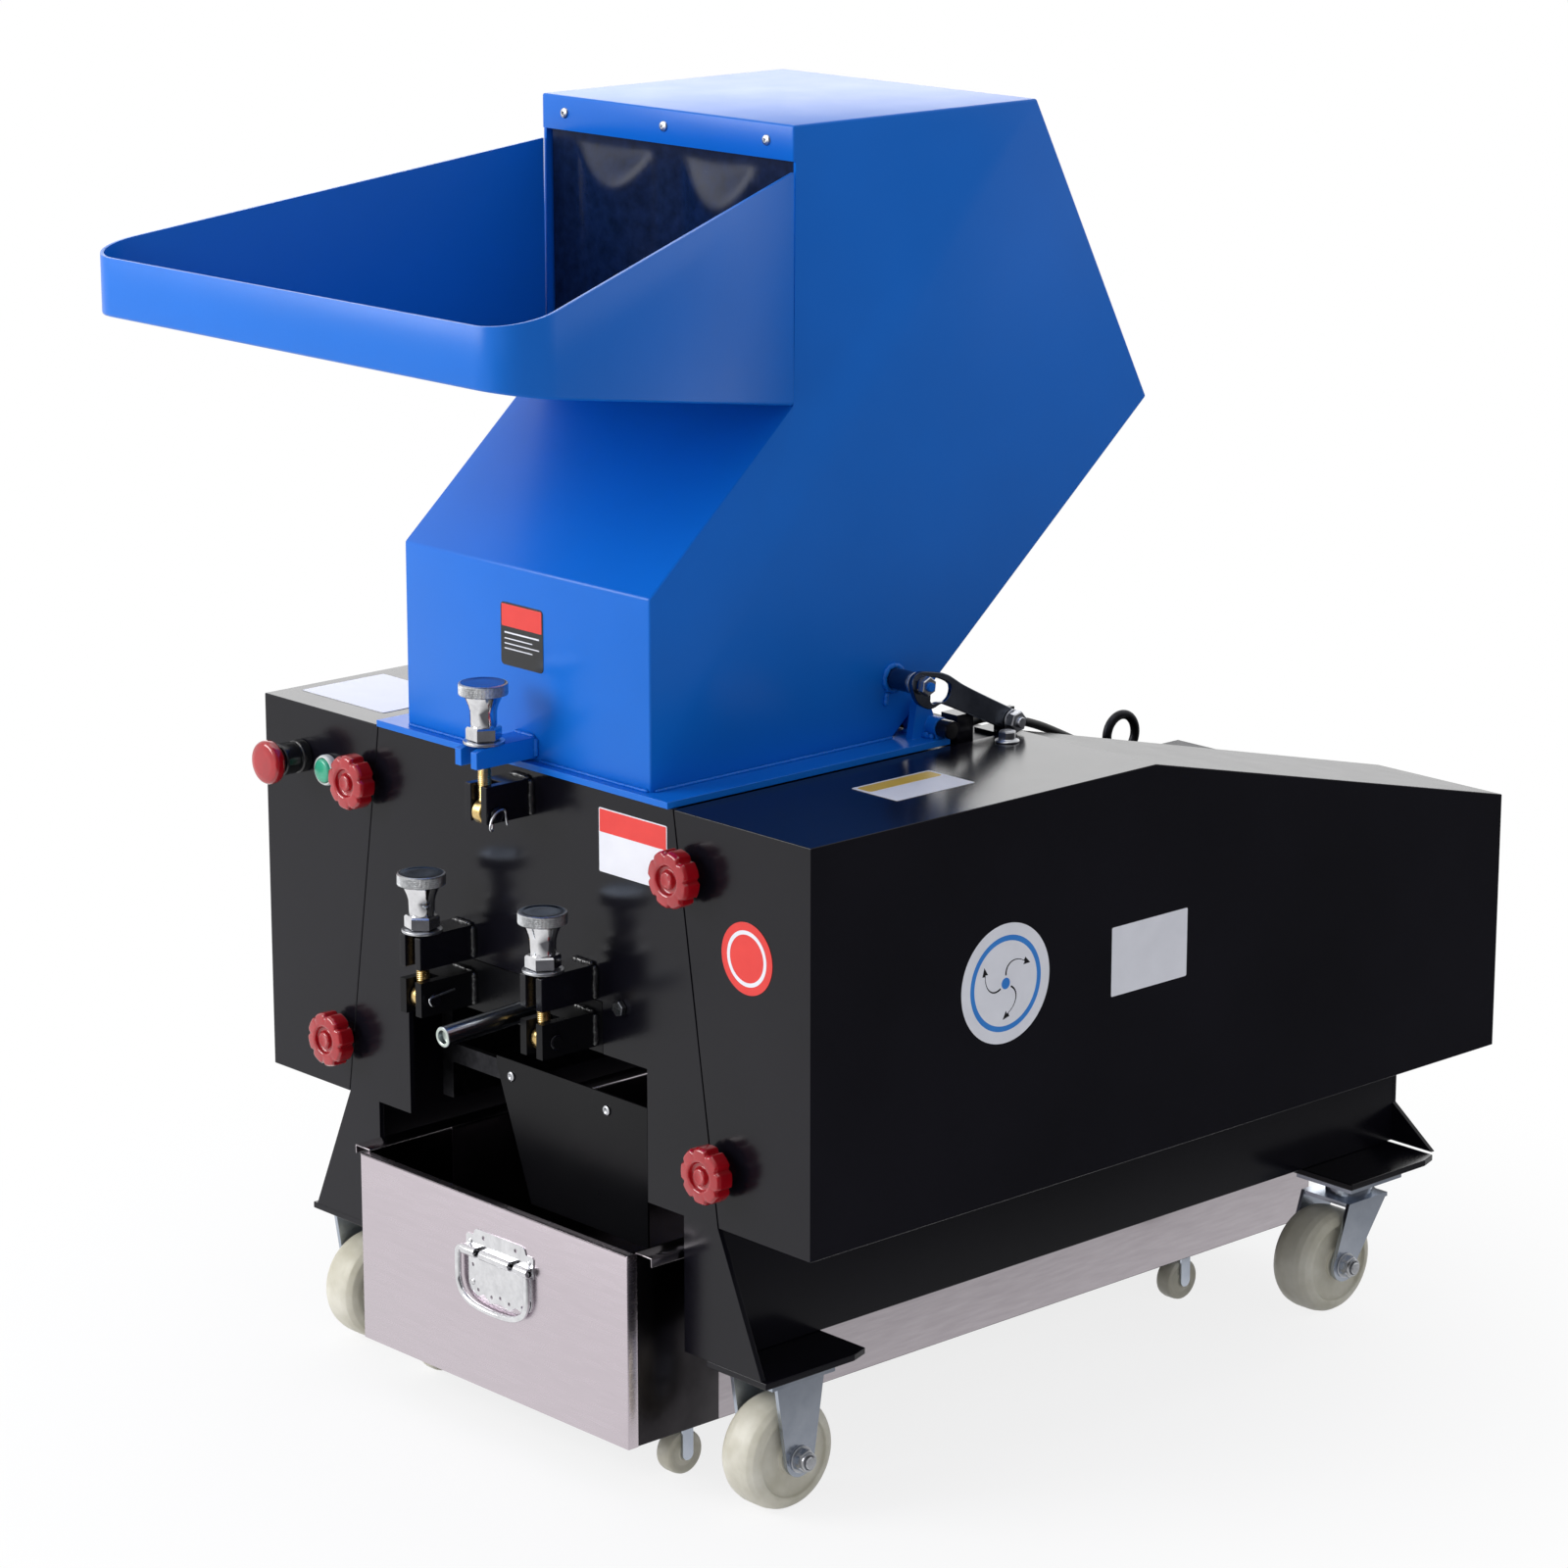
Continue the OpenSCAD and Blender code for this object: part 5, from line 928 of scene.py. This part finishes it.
def make_hinge_details():
    """Boss, stud and nuts on the hopper's side, hinge ends, welds and the cover's bolt."""
    y, z = 285.5, 666
    boss = rounded([(9.5, 0), (9.5, 24), (9, 26), (7.6, 26.6), (5.6, 26.6)], 0.6)
    turn("stay_boss", boss, (162.5, y, z), (1, 0, 0), "stay_zinc", "hopper", (), 48)
    turn("stay_boss_washer", rounded([(5, 0), (9.8, 0), (10, 0.4), (10, 1.8), (9.6, 2.2), (5, 2.2)], 0.3),
         (189.2, y, z), (1, 0, 0), "zinc_steel", "hopper", (), 48)
    from_points("stay_nut", *hexagon(15, 0, 7.2, (201.2, y, z), (1, 0, 0), 0.4), "zinc_steel", "hopper",
        smooth=25)
    turn("stay_stud", [(4.4, 0), (4.4, 20), (3.8, 21.4), (0, 21.6)], (190, y, z), (1, 0, 0), "blue_paint",
        "hopper", (), 40,
         thread_shape(1.5, 0.5, 11, 20.4), 40)
    ring = [(162.9, y + 11 * math.cos(a),
        z + 11 * math.sin(a)) for a in [math.tau * k / 14 for k in range(15)]]
    bead("boss_weld", ring, 2.6, "blue_paint", "hopper", 21, 1.1)
    bead("boss_weld_drip", [(163.2, y - 8, z - 12), (163.6, y - 10, z - 18), (163.2, y - 10, z - 23)], 2.2,
        "blue_paint",
         "hopper", 22)
    for side in (-1, 1):
        word = "left" if side < 0 else "right"
        turn(f"hinge_rod_end_{word}", rounded([(5.2, 0), (8, 0), (8.2, 1), (8.2, 12), (7.2, 13.6), (0,
            13.8)], 1),
             (side * 190.4, 318, 621), (side, 0, 0), "dark_plastic", "frame", (), 40)
        bead(f"barrel_weld_front_{word}", [(side * 152, 308.6, 613.6), (side * 170, 308, 614), (side * 189,
            308.6, 613.6)],
             2.6, "blue_paint", "hopper", 31 + side, 1.1)
        bead(f"barrel_weld_ring_{word}", [(side * 163.6, 318 + 9.4 * math.cos(a), 621 + 9.4 * math.sin(a))
                                         for a in [0.5 + 0.35 * k for k in range(9)]], 2.0, "blue_paint",
                                         "hopper",
             35 + side)
    # Pivot of the stay: washers, nut and bolt end
    y, z = 394, 617
    turn("pivot_washer", rounded([(5.2, 0), (9.6, 0), (9.9, 0.4), (9.9, 1.6), (9.6, 2), (5.2, 2)], 0.3),
         (200.4, y, z), (1, 0, 0), "zinc_steel", "frame", (), 48)
    from_points("pivot_nut", *hexagon(17, 0, 8, (202.4, y, z), (1, 0, 0), 0.2), "zinc_steel", "frame",
        smooth=25)
    turn("pivot_bolt_end", [(4.9, 0), (4.9, 3.4), (4.2, 4.4), (0, 4.5)], (209.6, y, z), (1, 0, 0),
        "zinc_steel", "frame",
         (), 32, None, 40)
    # Flanged bolt on the right cover
    flange = rounded([(0, 0), (10.5, 0), (11, 0.8), (10.4, 1.8), (8.6, 2.6), (8.2, 3.2), (0, 3.2)], 0.5)
    body = hexagon(14, 2.6, 9.6, (221, 368, 606), (0, 0, 1), 0.35)
    from_points("cover_bolt", *merge([turned(flange, (221, 368, 606), (0, 0, 1), 48), body]), "zinc_steel",
                "right_cover", smooth=28)
    bead("deck_weld", [(189, 384, 606.6), (192, 392, 607), (194, 402, 606.8)], 3, "black_rough", "frame",
        44)


def make_stay_arm():
    """The stay: a plate with a shank, a wide head and a heart-shaped slot round the hopper's stud."""
    angle = math.radians(155.7)
    head = []
    for point in ((-9.8, 0), (-8.6, -5.2), (-4, -9.2), (2, -10), (20, -10.8), (45, -12), (70, -13.6),
            (84, -15.6),
                  (92, -16.6), (102, -16), (116, -13), (126, -10), (132, -4), (131, 4), (124, 12.5),
                  (116, 17),
                  (104, 18), (97, 15), (91, 10), (84, 8.8), (50, 9), (20, 9.4), (2, 9.8), (-4, 9.2),
                  (-8.6, 5.2)):
        head.append(point)
    slot_loop = [(86, -9), (92, -10.6), (104, -10.4), (116, -8), (123, -5.6), (125.6, -1), (124.4, 4.6),
        (119.6, 6.4),
                 (112.8, 6.2), (107, 5), (105.2, 7.4), (103.6, 10.8), (99.6, 11.6), (95, 9.2), (87, 6.2),
                 (83.4, 1),
                 (83.6, -5)]
    outline = [tuple(p.xy) for p in smooth_path([Vector((a, b, 0)) for a, b in head + head[:1]], 4)][:-1]
    hole = [tuple(p.xy) for p in smooth_path([Vector((a, b, 0)) for a, b in slot_loop + slot_loop[:1]],
        5)][:-1]
    right = (0, math.cos(angle), math.sin(angle))
    up = (0, -math.sin(angle), math.cos(angle))
    plate("stay_arm_body", [outline, hole], 4.6, (197.6, 394, 617), right, up, "stay_zinc", "stay",
        "stay_arm", 0.8)


CABLE = [
    (181, 356, 616), (181, 372, 618), (181, 390, 617), (181, 408, 613), (181, 428, 607), (181, 450, 599),
    (181, 474, 588), (182, 498, 576), (183, 524, 562), (184, 550, 549), (185, 578, 537), (186, 606, 526),
    (186, 634, 517), (185, 662, 509), (181, 690, 503), (173, 714, 498), (161, 733, 495), (147, 744, 494),
    (132, 747, 494),
]


def make_cable():
    from_points("switch_cable_body", *pipe(smooth_path(CABLE, 5), 4, 20), "cable_rubber", "frame",
        "switch_cable", 80)


def curtain_bulge(x, drop):
    """How far the curtain leans forward between its screws, at a depth below the band."""
    for middle, half, depth in ((-72, 50, 36), (64, 46, 44)):
        u = 1 - ((x - middle) / half) ** 2
        if u > 0 and drop > 0:
            t = min(1, drop / (depth * u + 6))
            return 12 * u * t * t * (3 - 2 * t)
    return 0


def make_curtain():
    """The dark sheet that hangs in the mouth: it bulges between its three screws and is a little wavy."""
    points, faces = [], []
    cols, rows = 60, 66
    for side in (0, 1):
        for j in range(rows + 1):
            for i in range(cols + 1):
                x = -155.5 + 311 * i / cols
                z = 1146 - 216.8 * j / rows
                low = (j / rows) ** 1.5
                wave = 1.5 * low * math.sin(x * 0.021 + 0.6) + 1.1 * low * math.sin(x * 0.045 + z * 0.012)
                bulge = curtain_bulge(x, 1117 - z) * (1 - low)
                points.append((x, 173.9 + 2.6 * low + wave - bulge + side * 1.6, z))
    n = cols + 1
    layer = n * (rows + 1)
    for j in range(rows):
        for i in range(cols):
            a = j * n + i
            faces.append((a, a + 1, a + n + 1, a + n))
            faces.append((layer + a, layer + a + n, layer + a + n + 1, layer + a + 1))
    edge = [i for i in range(n)] + [j * n + n - 1 for j in range(1, rows + 1)] + \
           [rows * n + i for i in range(n - 2, -1, -1)] + [j * n for j in range(rows - 1, 0, -1)]
    for a, b in zip(edge, edge[1:] + edge[:1]):
        faces.append((a, a + layer, b + layer, b))
    from_points("mouth_curtain_body", points, faces, "curtain_sheet", "curtain", "mouth_curtain", 60)


BIN_WALL_X = 182.2
BIN_FLANGE_X = 203


def make_bin():
    """The stainless bin: folded front with side returns, long sides with flanges, rear sheet and floor."""
    y0, ym, y1, z0, z1 = -42, 62, 830, 45, 220
    t = 1.5
    front = [(-183, y0, z0), (183, y0, z0), (183, y0, z1), (-183, y0, z1), (-183, y0 + 11, z0),
        (-183, y0 + 11, z1),
             (183, y0 + 11, z0), (183, y0 + 11, z1)]
    folded("bin_front", front, [(0, 1, 2, 3), (4, 0, 3, 5), (1, 6, 7, 2)], t, 1.2, "stainless", "bin")
    for side in (-1, 1):
        word = "left" if side < 0 else "right"
        x, xf = side * BIN_WALL_X, side * BIN_FLANGE_X
        # The front end of each side is a separate near-black sheet: a painted dark reflection of dark
        # surroundings in the polished steel
        near = [(x, y0 + 10, z0 + 0.5), (x, ym, z0 + 0.5), (x, ym, z1), (x, y0 + 10, z1)]
        folded(f"bin_side_painted_reflection_{word}", near, [(0, 1, 2, 3) if side > 0 else (3, 2, 1, 0)], 1.2, 0.3,
            "tub_dark", "bin")
        # The rest of each side and its lip take the darker copy of the stainless: painted shade
        pts = [(x, ym, z0 + 0.5), (x, y1 - 0.2, z0 + 0.5), (x, y1 - 0.2, z1), (x, ym, z1),
               (x, y0 + 10, z1), (xf, y0 + 10, z1), (xf, y1 - 10, z1), (x, y1 - 10, z1)]
        faces = [(0, 1, 2, 7, 3), (4, 3, 7, 6, 5)] if side > 0 else [(3, 7, 2, 1, 0), (5, 6, 7, 3, 4)]
        folded(f"bin_side_{word}", pts, faces, 1.2, 1.2, "stainless_dark", "bin")
        lip = [(xf, y0 + 10, z1), (xf, y1 - 10, z1), (xf, y1 - 10, z1 - 7), (xf, y0 + 10, z1 - 7)]
        folded(f"bin_lip_{word}", lip, [(0, 3, 2, 1)] if side > 0 else [(0, 1, 2, 3)], 1.2, 0.4,
            "stainless_dark", "bin")
    # The rear sheet and floor are near-black steel too: a painted dark reflection inside the bin
    rest = [(-182, y1, z0 + 0.2), (182, y1, z0 + 0.2), (182, y1, z1), (-182, y1, z1),
        (-182, y0 + 1, z0 + 0.2),
            (182, y0 + 1, z0 + 0.2)]
    folded("bin_tub", rest, [(0, 3, 2, 1), (4, 0, 1, 5)], t, 1.5, "tub_dark", "bin")
    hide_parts("bin")
    # Top edge of the front, folded inward
    top = [(-183, y0, z1), (183, y0, z1), (183, y0 + 9, z1), (-183, y0 + 9, z1)]
    folded("bin_front_fold", top, [(0, 1, 2, 3)], 1.2, 0.3, "stainless", "bin")


def make_bin_handle():
    """Suitcase handle: pressed plate with rivets, rolled hinge and the wire bail."""
    fx = (1, 0, 0), (0, 0, 1)
    cx, zb = 14, 172
    upper = [(cx - 46, 166), (cx + 46, 166), (cx + 46, 184), (cx + 44, 186), (cx + 36, 186), (cx + 34, 191),
             (cx + 31, 192.5), (cx - 31, 192.5), (cx - 34, 191), (cx - 36, 186), (cx - 44, 186),
             (cx - 46, 184)]
    holes = [circle(cx + u, v, 1.9, 16) for u, v in ((-40, 179), (40, 179), (-22, 186), (22, 186))]
    plate("handle_plate_top", [upper, *holes], 1.2, (0, -42.7, 0), *fx, "chrome", "bin", edge=0.35)
    lower = [(cx - 43, 166)]
    lower += [(cx - 43, 140), (cx - 40, 134), (cx - 30, 130), (cx - 22, 133), (cx - 13, 127.6), (cx, 130),
              (cx + 13, 127.6), (cx + 22, 133), (cx + 30, 130), (cx + 40, 134), (cx + 43, 140),
              (cx + 43, 166)]
    pattern = [circle(cx + u, v, 1.6, 14) for u, v in
               ((-37, 142), (37, 142), (-30, 136), (30, 136), (-12, 134), (12, 134), (0, 136), (-37, 158),
               (37, 158))]
    plate("handle_plate_low", [lower[::-1], *pattern], 1.2, (0, -42.7, 0), *fx, "chrome", "bin", edge=0.35)
    for k, (u, v) in enumerate(((-40, 179), (40, 179), (-37, 142), (37, 142))):
        turn(f"handle_rivet_{k}", rounded([(0, 1.8), (1.6, 1.6), (2.8, 0.5), (2.9, 0), (0, 0)], 0.5),
             (cx + u, -43.1, v), (0, -1, 0), "chrome", "bin", (), 24)
    for k, (a, b) in enumerate(((-45, -27), (-20, 20), (27, 45))):
        turn(f"handle_hinge_{k}", rounded([(3.15, 0), (4.4, 0), (4.6, 0.4), (4.6, b - a - 0.4), (4.4,
            b - a), (3.15, b - a)], 0.3),
             (cx + a, -47, zb), (1, 0, 0), "chrome", "bin", (), 32)
        from_points(f"handle_tongue_{k}", *box_mesh((cx + a, -47, zb + 2.2), (cx + b, -42.2, zb + 4.4)),
            "chrome", "bin",
                    smooth=30, edge=0.4)
    bail = [(cx - 36, -47, 172), (cx - 43, -47, 172), (cx - 46.4, -47, 169.5), (cx - 47, -47, 164),
        (cx - 47, -47, 150),
            (cx - 46.4, -47, 141), (cx - 42, -47, 131.5), (cx - 33, -47, 125.6), (cx - 21, -47, 122.6),
            (cx, -47, 121.4),
            (cx + 21, -47, 122.6), (cx + 33, -47, 125.6), (cx + 42, -47, 131.5), (cx + 46.4, -47, 141),
            (cx + 47, -47, 150), (cx + 47, -47, 164), (cx + 46.4, -47, 169.5), (cx + 43, -47, 172),
            (cx + 36, -47, 172)]
    from_points("bin_bail_body", *pipe([(x - 6, y, z) for x, y, z in map(tuple, smooth_path(bail, 4))], 3,
        16), "chrome",
                "bail", "bin_bail", 80)


# Main casters: name, middle across, axle along, the body that the fork rides on
CASTERS = (
    ("front_left", -275, 45, "frame"), ("front_right", 275, 45, "frame"),
    ("rear_left", -275, 743, "left_swivel"), ("rear_right", 275, 743, "right_swivel"),
)
AXLE_Z = 50
BIN_AXLE_Z = 20


def make_wheels():
    tread = rounded([(7, 22.6), (13, 22.8), (15.5, 22.4), (15.8, 19.2), (20, 18.6), (33, 18.6),
        (35.8, 19.4), (36.8, 22.6),
                     (40, 22.6), (45.2, 19.6), (48.6, 14.4), (49.9, 8), (50, 0), (49.9, -8), (48.6, -14.4),
                     (45.2, -19.6), (40, -22.6), (36.8, -22.6), (35.8, -19.4), (33, -18.6), (20, -18.6),
                     (15.8, -19.2),
                     (15.5, -22.4), (13, -22.8), (7, -22.6)], 1.2)
    for word, x, y, _ in CASTERS:
        name = word + "_wheel"
        turn(name + "_body", tread, (x, y, AXLE_Z), (1, 0, 0), "nylon_wheel", name, name, 96, None, 40)
        turn(name + "_disc", [(9.6, 19.6), (14.8, 19.9), (15.2, 19.4)], (x, y, AXLE_Z), (1, 0, 0),
            "pale_plastic", name, (), 48)
        turn(name + "_bush", [(6.6, 24), (9.2, 24), (9.4, 23.6), (9.4, -23.6), (9.2, -24), (6.6, -24)],
            (x, y, AXLE_Z),
             (1, 0, 0), "dark_zinc", name, (), 40)
    small = rounded([(3.2, 9), (7, 9), (7.6, 8.2), (12, 7.6), (15, 8.6), (17, 9), (19.3, 7.6), (20, 4),
        (20, -4),
                     (19.3, -7.6), (17, -9), (15, -8.6), (12, -7.6), (7.6, -8.2), (7, -9), (3.2, -9)], 0.8)
    for word, x, y in (("front_left", -165, 31), ("front_right", 165, 31), ("rear_left", -165, 662),
                       ("rear_right", 165, 662)):
        name = "bin_wheel_" + word
        turn(name + "_body", small, (x, y, BIN_AXLE_Z), (1, 0, 0), "nylon_wheel", name, name, 64, None, 40)


def make_axle_ends():
    """Washers, lock nuts and bolt ends on the main casters' axles."""
    for word, x, y, body in CASTERS:
        for side in (-1, 1):
            x0 = x + side * 30.05
            outer = (side > 0) == (x > 0)
            tag = f"{word}_axle_{'nut' if outer else 'head'}"
            parts = [turned(rounded([(6, 0), (11.6, 0), (12, 0.4), (12, 1.6), (11.6, 2), (6, 2)], 0.3),
                (x0, y, AXLE_Z),
                            (side, 0, 0), 48),
                     hexagon(18, 2, 9 if outer else 8, (x0, y, AXLE_Z), (side, 0, 0), 0.3)]
            if outer:
                parts.append(turned(rounded([(6, 9), (8.4, 9), (8.2, 11), (6.8, 11.6), (5.9, 10.6)], 0.4),
                    (x0, y, AXLE_Z),
                                    (side, 0, 0), 40))
                parts.append(turned([(5.6, 9), (5.6, 12.6), (4.8, 13.6), (0, 13.7)], (x0, y, AXLE_Z),
                    (side, 0, 0), 40))
            else:
                parts.append(turned([(9, 7.4), (6, 8.6), (0, 8.9)], (x0, y, AXLE_Z), (side, 0, 0), 40))
            points, faces = merge(parts)
            from_points(tag, points, faces, "zinc_steel", body, smooth=28)


make_camera()
make_world()
make_lamps()
make_floor()
dress_nodes()
make_hopper()
make_tray()
make_curtain()
make_knobs()
make_buttons()
make_swing_bolts()
make_lug_details()
make_front_details()
make_handle_rod()
make_labels()
make_hinge_details()
make_stay_arm()
make_cable()
make_bin()
make_bin_handle()
make_wheels()
make_axle_ends()
bpy.context.scene.view_settings.view_transform = "Standard"
